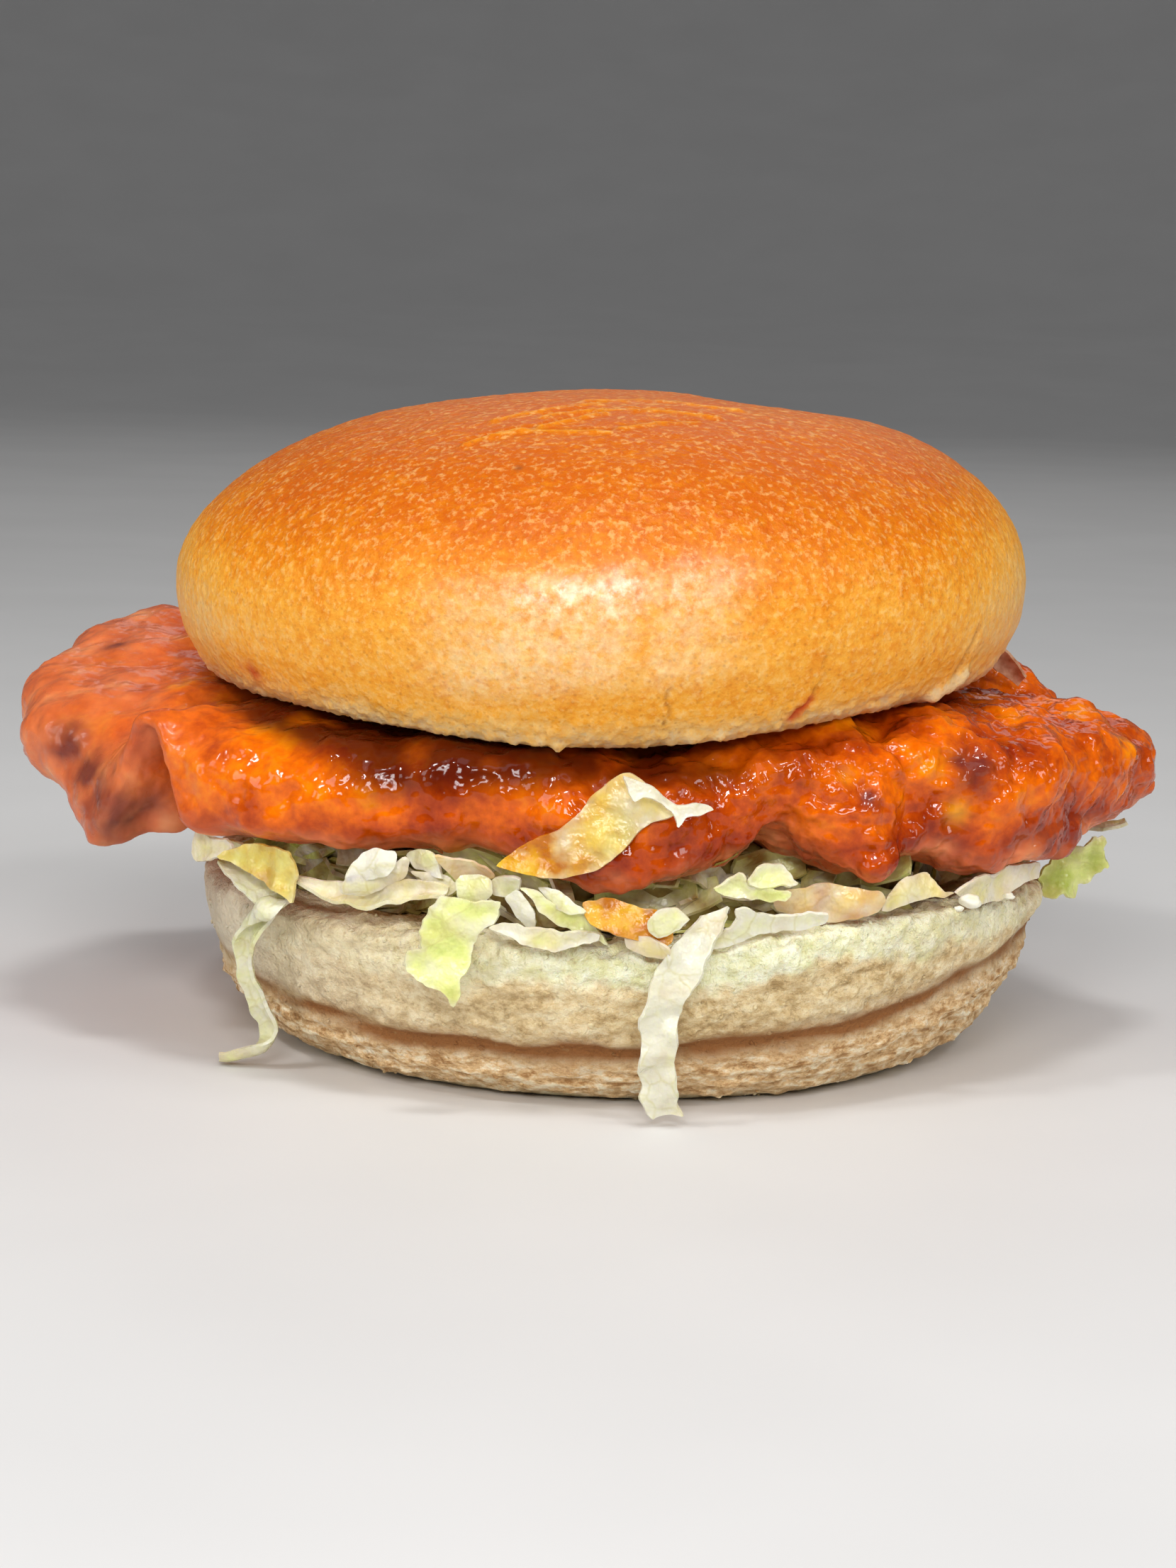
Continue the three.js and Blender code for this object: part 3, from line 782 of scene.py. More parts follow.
def heel_skin():
    """Rings by columns of the heel, each point's height in the profile and its height over the crease."""
    profile = rounded([(r * HEEL_RADIUS, z) for r, z in HEEL_PROFILE])
    spots = at_shares(profile, stretches((0.3, 10), (0.64, 118), (0.74, 30), (1.0, 16)))
    angle = columns(520)[None, :]
    turn = np.radians(angle)
    radius, z = np.maximum(spots[:, :1], 0), np.maximum(spots[:, 1:], 0)
    share = radius / HEEL_RADIUS
    on_side = smoothstep(share, 0.7, 0.8)
    rise = smoothstep(z, 0.2 * HEEL_RIM_Z, HEEL_RIM_Z)
    wave = np.sin(np.radians(5 * angle + 20)) + 0.6 * np.sin(np.radians(9 * angle))
    reach = radius * (1 + (0.004 * wave + 0.02 * np.cos(turn)) * rise)
    up = z + 0.35 * wave * rise * share + 3.6 * bell(angle, 322, 32) * rise**3 * share**4
    grid = np.stack([reach * np.cos(turn) + HEEL_X, reach * np.sin(turn), up], axis=-1)
    return grid, z + 0 * angle, (z - crease_height(angle)) * on_side + 9 * (1 - on_side)


def build_heel(finish):
    grid, height, over = heel_skin()
    normals = skin_normals(grid)
    angle = np.degrees(np.arctan2(grid[..., 1], grid[..., 0] - HEEL_X)) % 360
    share = np.hypot(grid[..., 0] - HEEL_X, grid[..., 1]) / HEEL_RADIUS
    side = smoothstep(share, 0.74, 0.84)
    over = over + 0.8 * swell(grid, 9, 19)
    fading = 1 - 0.85 * bell(angle, 192, 30)
    groove = hump(over, 0, 1.3) * side * fading
    lip = side * smoothstep(-over, 0.3, 2.2)
    wall = side * smoothstep(over, 0.4, 2.4)
    torn = swell(grid, 2.4, 11) + 0.8 * swell(grid, 1.1, 12)
    flakes = swell(grid, 3.4, 13, (1.6, 1.6, 0.3))
    pits = smoothstep(swell(grid, 1.9, 20), 0.2, 0.6)
    out = side * 0.4 * swell(grid, 14, 14)
    layers = swell(grid, 4.5, 24, (2.5, 2.5, 0.35))
    out += wall * fading * (0.4 * torn + 0.3 * layers + 0.45 * swell(grid, 5.5, 15) - 0.6 * pits)
    out += lip * (0.35 * torn + 0.75 * flakes + 0.3 * layers)
    out += 0.35 * side * hump(over, -3.0, 1.7)
    out += groove * (-0.9 + 0.2 * torn)
    top = smoothstep(height, HEEL_RIM_Z - 3, HEEL_RIM_Z - 0.5)
    out += top * (0.8 * swell(grid, 2.4, 16) + 0.3 * np.abs(swell(grid, 1.0, 17)))
    grid = grid + normals * out[..., None]
    grid[..., 2] = np.maximum(grid[..., 2], 0)
    flat = (height < 0.01) & (share < 0.715)
    grid[flat, 2] = 0

    band = np.clip(1.2 * bell(angle, 280, 34) + 0.5 * bell(angle, 330, 22), 0, 1)
    depth = 4.6 + 2.4 * swell(grid, 7, 17) + 1.4 * swell(grid, 2.2, 22)
    dressing = band * smoothstep(height - HEEL_RIM_Z + depth, -0.9, 0.9) * smoothstep(share, 0.8, 0.9)
    toast = smoothstep(height, HEEL_RIM_Z - 2.4, HEEL_RIM_Z - 1.2) * (1 - smoothstep(share, 0.72, 0.9))
    streak = hump(over, 1.2, 1.1) * smoothstep(swell(grid, 11, 23), -0.2, 0.3) * side
    shadow = (hump(over, -0.1, 1.2) + 0.35 * hump(over, 0.6, 2.6)) * side * fading
    crease = shadow * (1 - 0.35 * bell(angle, 330, 28)) + 0.35 * streak
    masks = {
        "crease": np.clip(crease * (0.95 + 0.5 * swell(grid, 3, 18, (3, 3, 0.6))), 0, 1),
        "lip": np.clip(lip, 0, 1),
        "grey": np.clip(0.75 * bell(angle, 200, 34) + 0.3 * bell(angle, 90, 60), 0, 1) * wall,
        "dressing": np.clip(dressing, 0, 1),
        "toast": np.clip(toast, 0, 1),
        "crumbly": side * (0.25 + bell(angle, FRONT, 60)),
    }
    return attach(skin_piece("torn_heel", grid, finish, masks), "bun_crumb", "heel_bun")


# Chicken fillet

FILLET_LOBES = [  # angle round the plan, spread, reach, lift of the upper edge, drop of the lower edge
    (-2, 9, 8, -2, -1),  # right end
    (10.5, 4, -1.5, -3.5, 0),  # right upper notch
    (22, 6, 1.5, 6, 0),  # right back knob
    (95, 22, 2, 1, 0),  # back swell
    (160, 17, 5, 10.5, -1),  # left back hump
    (181, 11, 8.4, -1, 0),  # left end
    (199, 5.5, 1.6, -4, 9.5),  # left drooping tip
    (NOTCH_ANGLE, 3.4, -2, 0, 0),  # left notch
    (215, 3.4, 1.5, 0, 3),  # left small tip
    (230, 15, 0.5, -2, 1.8),  # front left roll
    (274, 15, 5, -3, 7),  # hanging lump
    (297, 5, -2, 0, -4),  # front notch
    (307, 5, 5, 2, 5.4),  # front right lobe
    (325, 7, -1, 3, 6),  # right lobe
    (340, 9, 1.5, 2, 7.5),  # right roll
]
FILLET_BUMPS = [  # spot, radius, height
    ((55.7, -33.4, 42.2), 4.6, 2.4),  # round ball of batter
    ((44.8, -42.7, 38.4), 2.2, 0.9),
    ((-19.3, -48.8, 33.6), 2.0, 0.8),
    ((34.4, -51.4, 31.9), 3.4, 1.2),
    ((2.3, -56.6, 31.1), 5.0, 1.0),
    ((-58.7, -23.4, 30.6), 2.2, 1.2),
    ((-60.5, -25.5, 32.5), 2.6, -1.8),
    ((66, -18, 40), 5.0, 1.0),
    ((22, -52, 42), 5.0, 1.2),
    ((-50, -41, 41), 5.5, 1.0),
    ((-30, -49.5, 39.5), 6.0, 0.9),
]
YELLOW_LUMPS = [  # spot, radius
    ((44.8, -42.7, 38.4), 1.5), ((-19.3, -48.8, 33.6), 1.5), ((13, -50, 46.5), 1.8), ((30, -50, 44), 1.0),
]
# Purple-brown patches on the fillet, and painted shade along its lower left edge.
DARK_PATCHES_AND_SHADE = [  # spot, radius
    ((46.5, -41.2, 43.7), 2.8), ((-69.6, 5.6, 50.6), 1.5), ((-73.2, -19.2, 40.6), 3.2),
    ((-69.5, -23.4, 37.4), 3.2), ((-65, -27, 33.5), 4.2), ((-61, -29.5, 32.5), 3.4), ((-75, -12, 38), 2.2),
    ((33, -50, 41), 1.2),
]


def fillet_section(tilt):
    """Reach and height of the fillet's flat oblong section, up to 1, at angles from its middle plane."""
    return np.abs(np.cos(tilt)) ** 0.42, np.sign(tilt) * np.abs(np.sin(tilt)) ** 0.52


def fillet_skin():
    """Rings by columns of the fillet, as in the CAD part, divided finely."""
    dense = np.linspace(0, 1, 4001)
    out, up = fillet_section((dense - 0.5) * math.pi)
    length = arc_lengths(np.stack([62 * out, 9.5 * up], axis=-1))
    shares = stretches((0.2, 14), (0.36, 30), (0.64, 72), (0.8, 34), (1.0, 18))
    climb = np.interp(shares * length[-1], length, dense)[:, None]
    angle = columns(580, 1.1)[None, :]
    turn = np.radians(angle)
    roundness = 2.4
    oval = (np.abs(np.cos(turn)) / FILLET_LENGTH_HALF) ** roundness
    oval = oval + (np.abs(np.sin(turn)) / FILLET_DEPTH_HALF) ** roundness
    reach, low, high = oval ** (-1 / roundness), 0 * turn + FILLET_LOW_Z, 0 * turn + FILLET_HIGH_Z
    tilt = (climb - 0.5) * math.pi
    for at, spread, push, lift, drop in FILLET_LOBES:
        share = bell(angle, at, spread)
        if spread < 8:  # a small lobe shows at the lower edge only
            push = push * (1 - 0.75 * smoothstep(np.sin(tilt), -0.75, 0.35))
        reach, low, high = reach + push * share, low - drop * share, high + lift * share
    out, up = fillet_section(tilt)
    low = FILLET_LOW_Z + (low - FILLET_LOW_Z) * out**8
    low = low + NOTCH_RISE * bell(angle, NOTCH_ANGLE, 4.2) * smoothstep(out, 0.45, 0.75)
    high = FILLET_HIGH_Z + (high - FILLET_HIGH_Z) * out**3
    x = FILLET_CENTRE[0] + out * reach * np.cos(turn)
    y = FILLET_CENTRE[1] + out * reach * np.sin(turn)
    z = (low + high) / 2 + up * (high - low) / 2
    grid = np.stack([x, y, z], axis=-1)
    batter = 1.5 * coarse_swell(grid, 13) + 0.7 * coarse_swell(grid, 6.5)
    push = np.stack([out * np.cos(turn), out * np.sin(turn), 0.8 * up + 0 * turn], axis=-1)
    return grid + batter[..., None] * push


def build_fillet(finish):
    grid = fillet_skin()
    for _ in range(3):  # the coarse lumps' cells are softened before the fine ones go on
        inner = (np.roll(grid, 1, axis=1) + np.roll(grid, -1, axis=1) + 2 * grid) / 4
        inner[1:-1] = (inner[:-2] + inner[2:] + 2 * inner[1:-1]) / 4
        grid[1:-1] = inner[1:-1]
    normals = skin_normals(grid)
    x, y, z = np.moveaxis(grid, -1, 0)
    shown = smoothstep(np.hypot(x / 1.35, y), 26, 38)
    right = smoothstep(x, -25, 35)
    left_lobe = smoothstep(-x, 44, 60)
    large, middle, small = knobs(grid, 10, 21) - 0.6, knobs(grid, 4.6, 22) - 0.6, knobs(grid, 2.1, 23) - 0.6
    folds = 0.4 - np.abs(swell(grid, 9, 29))
    ripples = 0.35 - np.abs(swell(grid, 3.6, 30))
    out = shown * (0.5 + 0.9 * right) * large
    out += shown * (0.25 + 0.45 * right) * middle + shown * (0.6 + 0.2 * right) * folds
    out += shown * (0.35 + 0.3 * right - 0.15 * left_lobe) * ripples
    out += shown * (0.1 + 0.22 * right) * small
    out += shown * (0.7 * swell(grid, 6, 24) + (0.3 + 0.35 * right) * swell(grid, 2.3, 33))
    out += shown * (0.08 + 0.16 * right) * swell(grid, 1.1, 25)
    for spot, radius, bump in FILLET_BUMPS:
        out += bump * near_spot(grid, spot, radius)
    grid = grid + normals * out[..., None]

    under = smoothstep(-normals[..., 2], 0.25, 0.8)
    rim = hump(z, FILLET_LOW_Z + 1.5, 2.2) * smoothstep(swell(grid, 9, 26), -0.1, 0.35)
    left_rim = smoothstep(-x, 56, 70) * np.clip(0.75 + 0.8 * swell(grid, 13, 31), 0, 1)
    crown_edge = np.hypot(x - CROWN_X, y)
    # rise: lighter on the knobs and darker towards the right; below z 38.5 it is darkened as painted shade on
    # the lower front, less on the left lobe.
    rise = 0.58 + 0.15 * large + 0.3 * swell(grid, 12, 27) + 0.3 * swell(grid, 5, 34)
    rise -= 0.12 * right + 0.38 * (1 - smoothstep(z, 33, 38.5)) * (1 - 0.8 * left_lobe)
    # Painted shadow cast by the crown on the fillet's top under its front edge, widest on the left.
    spread = 2 * hump(x, -28, 14)
    pooled = smoothstep(spread - crown_edge, -59.5, -54) * smoothstep(z + spread, 39.5, 44.5)
    pooled *= np.clip(1.1 + swell(grid, 6, 32), 0, 1)
    pooled *= 1 - 0.6 * smoothstep(x, 5, 25)
    masks = {
        "pooled": np.clip(0.97 * pooled * (1 - 0.75 * left_lobe), 0, 0.95),
        "rise": np.clip(rise, 0, 1),
        "pale": np.clip(0.9 * left_rim + 0.2 * left_lobe + 0.5 * under + 0.6 * rim, 0, 1),
        "dull": 0.16 * left_lobe + 0.2 * under,
        "grainy": 0.5 + 0.5 * right,
        "bruise": np.clip(near_spots(grid, DARK_PATCHES_AND_SHADE) * (1.2 + 0.9 * swell(grid, 2.2, 28)), 0, 0.88),
        "batter": 0.85 * near_spots(grid, YELLOW_LUMPS),
    }
    return attach(skin_piece("sauced_fillet", grid, finish, masks), "sauced_batter", "chicken_fillet")


# Lettuce

def leaf_recipe():
    """A leaf or shred between two rails: the carrier is a curve of two splines, one for each long edge."""
    r = Recipe(
        "leaf_between_rails", Along="Int", Across="Int", Cup="Float", Ruffle="Float", Ruffle_size="Float",
        Seed="Float", Tint_start="Float", Tint_end="Float", Stain_start="Float", Stain_end="Float",
        Finish="Material",
    )
    sheet = r.add("GeometryNodeMeshGrid", {"Vertices X": r.value("Along"), "Vertices Y": r.value("Across")})
    spot = r.add("ShaderNodeSeparateXYZ", {0: r.add("GeometryNodeInputPosition").outputs[0]})
    u, v = (r.plus(spot.outputs[axis], 0.5) for axis in (0, 1))
    rails = []
    for index in (0, 1):
        rail = r.add("GeometryNodeSampleCurve", {"Curves": r.value("Geometry")}, mode="FACTOR")
        r.feed(rail.inputs["Factor"], u)
        r.feed(rail.inputs["Curve Index"], index)
        rails.append(rail)
    first, second = (rail.outputs["Position"] for rail in rails)
    width = r.vector("SUBTRACT", second, first)
    middle = r.vector("ADD", first, r.vector("SCALE", width, scale=v))
    facing = r.vector("NORMALIZE", r.vector("CROSS_PRODUCT", width, rails[0].outputs["Tangent"]))
    off_middle = r.math("SUBTRACT", r.times(v, 2.0), 1.0)
    arch = r.math("SUBTRACT", 1.0, r.times(off_middle, off_middle))
    cup = r.times(r.times(arch, r.value("Cup")), r.vector("LENGTH", width))
    scale = r.math("DIVIDE", 1.0, r.value("Ruffle_size"))
    given = {"Vector": middle, "W": r.value("Seed"), "Scale": scale, "Detail": 1.0}
    waves = r.add("ShaderNodeTexNoise", given, noise_dimensions="4D").outputs["Fac"]
    toward_edge = r.plus(0.45, r.math("ABSOLUTE", off_middle))
    ruffle = r.times(r.math("SUBTRACT", waves, 0.5), r.times(toward_edge, r.value("Ruffle")))
    lifted = r.vector("ADD", middle, r.vector("SCALE", facing, scale=r.plus(cup, ruffle)))
    bent = r.add("GeometryNodeSetPosition", {"Geometry": sheet.outputs["Mesh"], "Position": lifted})
    geometry = bent.outputs[0]
    for label in ("Tint", "Stain"):
        value = r.span(u, 0.0, 1.0, r.value(label + "_start"), r.value(label + "_end"))
        given = {"Geometry": geometry, "Name": label.lower(), "Value": value}
        geometry = r.add("GeometryNodeStoreNamedAttribute", given).outputs[0]
    r.close(r.add("GeometryNodeSetShadeSmooth", {"Geometry": geometry}).outputs[0])
    return r


def rails_carrier(name, rails):
    """A curve object of two poly splines from rails in metres."""
    curve = bpy.data.curves.new(name + "_rails", "CURVE")
    curve.dimensions = "3D"
    for rail in rails:
        spline = curve.splines.new("POLY")
        spline.points.add(len(rail) - 1)
        spline.points.foreach_set("co", np.hstack([rail, np.ones((len(rail), 1))]).ravel())
    return in_scene(name + "_rails", curve)


LEAF_LOOK = {  # what a leaf between rails has where its own look says nothing; mm, counts and shares
    "thickness": 0.5, "along": 36, "lanes": 8, "cup": 0.12, "ruffle": 1.6, "ruffle_size": 4.0, "ragged": 0.25,
    "tint": (0.4, 0.4), "stain": (0.0, 0.0), "seed": 1,
}


def leaf(recipe, name, finish, middle, across, widths, look, placed=True):
    """One leaf: middle line and width directions in mm, widths along it, and its look."""
    look = {**LEAF_LOOK, **look}
    shares = np.linspace(0, 1, 40)
    line = at_shares(rounded(middle, 12), shares)
    side = at_shares(np.hstack([rounded(middle, 12), rounded(across, 12)]), shares)[:, 3:]
    wide = np.interp(shares, np.linspace(0, 1, len(widths)), widths)
    side = side / np.linalg.norm(side, axis=1, keepdims=True)
    rails = []
    for hand in (-1, 1):
        nibbles = swell(line + 5 * hand, 1.7, look["seed"]) * look["ragged"]
        rail = line + side * hand * (wide / 2 + nibbles * np.minimum(wide / 3, 1))[:, None]
        rails.append(place(rail) if placed else rail * MM)
    return recipe.run(
        rails_carrier(name, rails), name, thickness=look["thickness"],
        Along=look["along"], Across=look["lanes"], Cup=look["cup"], Ruffle=look["ruffle"] * MM,
        Ruffle_size=look["ruffle_size"] * MM, Seed=float(look["seed"]),
        Tint_start=look["tint"][0], Tint_end=look["tint"][1],
        Stain_start=look["stain"][0], Stain_end=look["stain"][1], Finish=finish,
    )


def across_for(middle, twist):
    """Width directions for a level shred, turned by twist degrees from end to end."""
    tangent = np.gradient(np.array(middle, float), axis=0)
    across = np.cross((0.0, 0.0, 1.0), tangent)
    across /= np.linalg.norm(across, axis=1, keepdims=True)
    turned = []
    for side, run, share in zip(across, tangent, np.linspace(0, 1, len(middle))):
        angle = math.radians(twist[0] + (twist[1] - twist[0]) * share)
        turned.append(Matrix.Rotation(angle, 3, Vector(run)) @ Vector(side))
    return np.array(turned)


LEAF_NODES = {  # stations of (middle, direction of the width, width), as in the CAD part, and the look
    "shred_left": ([
        ((-49.5, -37, 29.6), (0.5, 0.2, 0.9), 3.4), ((-45.4, -41.6, 27.4), (0.5, 0.2, 0.9), 4.6),
        ((-41.4, -44.4, 24.6), (0.6, -0.4, 0.7), 5.4), ((-43.6, -42.6, 22), (0.9, -0.3, 0.5), 5.6),
        ((-46.6, -40.4, 18.2), (0.9, -0.5, 0.1), 4.2), ((-46.6, -38.4, 14), (0.8, -0.6, 0), 3.2),
        ((-45.4, -37, 10), (0.8, -0.6, 0.1), 2.4), ((-44, -35.9, 6.8), (0.7, -0.6, 0.3), 2.8),
        ((-44.3, -35, 3.6), (0.6, -0.7, 0.4), 3.6), ((-48, -34, 1.9), (0.2, -0.9, 0.5), 3.2),
        ((-50.2, -33.4, 1.5), (0.2, -1, 0.3), 2.4),
    ], {
        "tint": (0.75, -0.55), "cup": 0.34, "ruffle": 1.8, "ruffle_size": 5, "ragged": 0.5, "along": 72,
        "seed": 2,
    }),
    "shred_front": ([
        ((13.6, -58.4, 27.8), (0.9, 0.1, 0.3), 3.6), ((12.4, -59.4, 25.8), (1, 0, 0.3), 5.4),
        ((10.2, -60.8, 22.6), (1, 0, 0.15), 5.8), ((9, -61.4, 19.4), (1, 0, 0), 5.8),
        ((7.8, -61.4, 16.6), (1, 0.2, 0), 5.1), ((7.4, -60.9, 14.8), (1, 0.5, 0), 4.7),
        ((7.2, -61.1, 12.4), (1, -0.3, 0), 4.8), ((7.1, -60.5, 8.6), (1, 0.2, 0), 4.5),
        ((7.2, -59.8, 5.6), (1, -0.3, 0), 4.9), ((7.6, -59, 3.2), (1, 0.2, 0), 5.0),
        ((8.4, -58.4, 1.3), (1, 0, 0.2), 3.8),
    ], {"tint": (0.1, -0.25), "ruffle_size": 3.4, "ragged": 0.6, "along": 72, "seed": 3}),
    "shred_right": ([
        ((63.8, 0.5, 30.6), (0, 1, 0.2), 3), ((68.6, -1, 30), (0, 1, 0.2), 3), ((73, -2, 30.8), (0, 1, 0), 2),
    ], {"tint": (0.2, 0.1), "seed": 7}),
    "curl_left": ([
        ((-39.2, -46, 28), (0.2, 0.5, 0.8), 0.9), ((-34.6, -49, 27.2), (0.2, 0.5, 0.9), 2.6),
        ((-29, -51.6, 27.4), (0.2, 0.5, 0.9), 3.6), ((-24, -53.2, 28.4), (0.3, 0.5, 0.8), 3.2),
        ((-19.8, -54.2, 28.6), (0.3, 0.5, 0.6), 1.4),
    ], {"tint": (0.0, 0.3), "stain": (1.0, -0.8), "cup": 0.3, "ragged": 0.4, "seed": 9}),
}
TORN_LEAVES = [  # depth at the middle of the burger and its slope, outline seen from the front, look
    ((-80.2, -0.82), [
        (-53.9, 29.6), (-53.4, 31.7), (-52.7, 32.8), (-51.2, 32.2), (-48.2, 31.2), (-47.8, 30.1), (-50.2, 29),
        (-53.4, 27.9)
    ], {"tint": 0.2, "stain": 0.12, "cup": 0.8}),
    # The stain and deep green tint of this piece are partly painted shade under the fillet.
    ((-68.9, -0.56), [
        (-50, 29.5), (-47.4, 31.3), (-44.8, 31.8), (-41.9, 31.8), (-40, 31.5), (-39.2, 29.6), (-39.3, 27.4),
        (-39.6, 24.9), (-41.2, 25.8), (-43.2, 26.9), (-45.7, 28.1), (-48.3, 28.8)
    ], {"tint": 0.8, "stain": 0.5, "cup": 0.6, "fold": 1.4}),
    ((-59.1, -0.23), [
        (-33.1, 27.8), (-32.1, 29.8), (-30, 29.8), (-27.3, 30.8), (-25.2, 32.4), (-24.5, 31.9), (-24.9, 30.5),
        (-26.1, 29.2), (-28.2, 28.1), (-31.2, 27.3)
    ], {"tint": 0.2, "stain": 0.1, "cup": 0.9}),
    ((-62.4, -0.32), [
        (-32.5, 29.2), (-32.1, 31), (-30.6, 32.6), (-28.5, 33.5), (-26.6, 33.3), (-26.2, 31.8), (-27, 30.4),
        (-28.5, 30.1), (-30, 29.3), (-31.3, 28.6)
    ], {"tint": -0.1, "cup": 0.9, "ruffle": 0.5}),
    ((-61, -0.44), [
        (-25.1, 31.8), (-23.9, 32.8), (-21.8, 32.9), (-21, 31.7), (-20.5, 29.9), (-22.4, 30.4), (-24.2, 30.7)
    ], {"tint": 0.4}),
    ((-57.6, -0.26), [
        (-21.5, 32.7), (-18.8, 32.6), (-16.7, 32.4), (-14.3, 31), (-13.8, 30.2), (-15.7, 30.2), (-18.4, 29.5),
        (-20.1, 30.9)
    ], {"tint": 0.1, "stain": 0.45}),
    ((-59.1, -0.33), [
        (-24.4, 30.5), (-22.3, 30.4), (-20.2, 30), (-18.4, 29.2), (-18.7, 28), (-20.5, 27.7), (-22.3, 28.9)
    ], {"tint": 0.3, "stain": 0.1}),
    ((-59.1, -0.11), [
        (-18.6, 29.9), (-18, 31), (-16.2, 31.3), (-14.4, 30.8), (-14, 29.4), (-15, 28.1), (-16.9, 27.7),
        (-18.3, 28.5)
    ], {"tint": 0.42, "cup": 0.9, "fold": 1.6}),
    ((-59.4, -0.13), [
        (-14.3, 30), (-13.8, 30.9), (-12.4, 31.4), (-10.6, 31), (-10.8, 29.5), (-12, 28.6), (-13.8, 28.6)
    ], {"tint": 0.38, "cup": 0.8, "fold": 1.4}),
    ((-59.8, -0.22), [
        (-10.6, 30.2), (-8.5, 29.6), (-6.1, 28.3), (-3.2, 27.6), (-2.3, 26.8), (-1.1, 25.4), (0.7, 23.1),
        (-1, 23.8), (-3.4, 24.9), (-5.8, 25.6), (-7.9, 27.1), (-9.4, 28.8)
    ], {"tint": 0.55, "cup": 0.6}),
    ((-60.1, -0.26), [
        (-8.2, 29.9), (-5.9, 29.7), (-3.2, 28.1), (-2.4, 27.4), (-4.3, 27.1), (-6.1, 27.9)
    ], {"tint": 0.3, "cup": 0.6}),
    ((-60, -0.16), [
        (-12.3, 28.5), (-10.9, 29.9), (-9.7, 28.8), (-8.7, 27), (-8.7, 24.9), (-9.6, 25.2), (-11.2, 26.9)
    ], {"tint": 0.05, "cup": 0.6}),
    ((-60.6, -0.11), [
        (-14.2, 25.3), (-12.5, 25.8), (-10.1, 25.6), (-7.2, 25.2), (-3.7, 25), (-0.5, 24.8), (-0.7, 23.8),
        (-3.1, 23), (-6, 22.4), (-8.9, 22.8), (-11, 23.8), (-12.8, 24.6)
    ], {"tint": 0.15, "stain": 0.1, "cup": 0.8}),
    ((-59, -0.18), [
        (-2.7, 28.5), (0.6, 29.1), (4.5, 28.1), (7.8, 27.6), (8.6, 24.5), (7.3, 23.3), (4.2, 24.1),
        (0.7, 25.1), (-2, 26.2)
    ], {"tint": 0.3, "stain": 0.95, "cup": 0.3, "fold": 0.3, "ruffle": 0.5}),
    ((-59.5, -0.19), [
        (2.7, 24.5), (5.5, 24.7), (8.1, 23.7), (7.9, 22.2), (4.7, 22.4), (2.9, 23.3)
    ], {"tint": 0.1, "stain": 0.25}),
    ((-61.1, -0.1), [
        (5.4, 27.2), (6.7, 28.6), (8.7, 28.8), (10.4, 27.6), (9.5, 26.5), (8.2, 25.5), (6.8, 24.7),
        (5.5, 25.7)
    ], {"tint": 0.4, "cup": 0.2, "fold": 0.5, "ruffle": 0.4}),
    ((-57.4, 0.08), [
        (17.8, 31.5), (18.7, 32.7), (19.8, 33.3), (21.9, 33.1), (23, 32.1), (24.1, 30.6), (22.3, 30.6),
        (20, 30.4), (18, 30.7)
    ], {"tint": 0.4, "cup": 1.2, "fold": 1.8}),
    ((-64.9, 0.39), [
        (12.6, 22.9), (13.5, 24.8), (15.6, 26), (16.4, 27.1), (16.1, 28.3), (17.6, 28.6), (18.8, 27.6),
        (21.2, 27.1), (24.8, 27.2), (28.1, 27.1), (27.7, 25.9), (24.9, 25.1), (21.3, 25), (18.5, 24.4),
        (15.7, 23.4)
    ], {"tint": 0.15, "cup": 0.8, "fold": 1.2}),
    ((-60.4, 0.35), [
        (21.3, 28.6), (24.3, 29.3), (27.6, 30.1), (31, 29.7), (34.7, 29.2), (35.5, 28), (34.8, 26.7),
        (31.8, 25.7), (28.4, 25.1), (25.1, 26), (22, 26.7)
    ], {"tint": 0.0, "stain": 0.55, "cup": 0.7}),
    ((-61.9, 0.4), [
        (35, 26.6), (36.2, 28.6), (38.4, 30.5), (41.2, 30.5), (42.9, 28.7), (44.8, 27.9), (41.7, 27.4),
        (38.6, 27)
    ], {"tint": 0.3, "stain": 0.3, "cup": 0.8}),
    ((-85.6, 0.97), [
        (45, 27.9), (48.3, 29.5), (52.5, 30), (57.1, 29.6), (57.4, 27.4), (55, 27.2), (53.5, 26.2),
        (51.6, 25.6), (48.5, 25.7)
    ], {"tint": 0.2, "stain": 0.15, "cup": 0.5}),
]
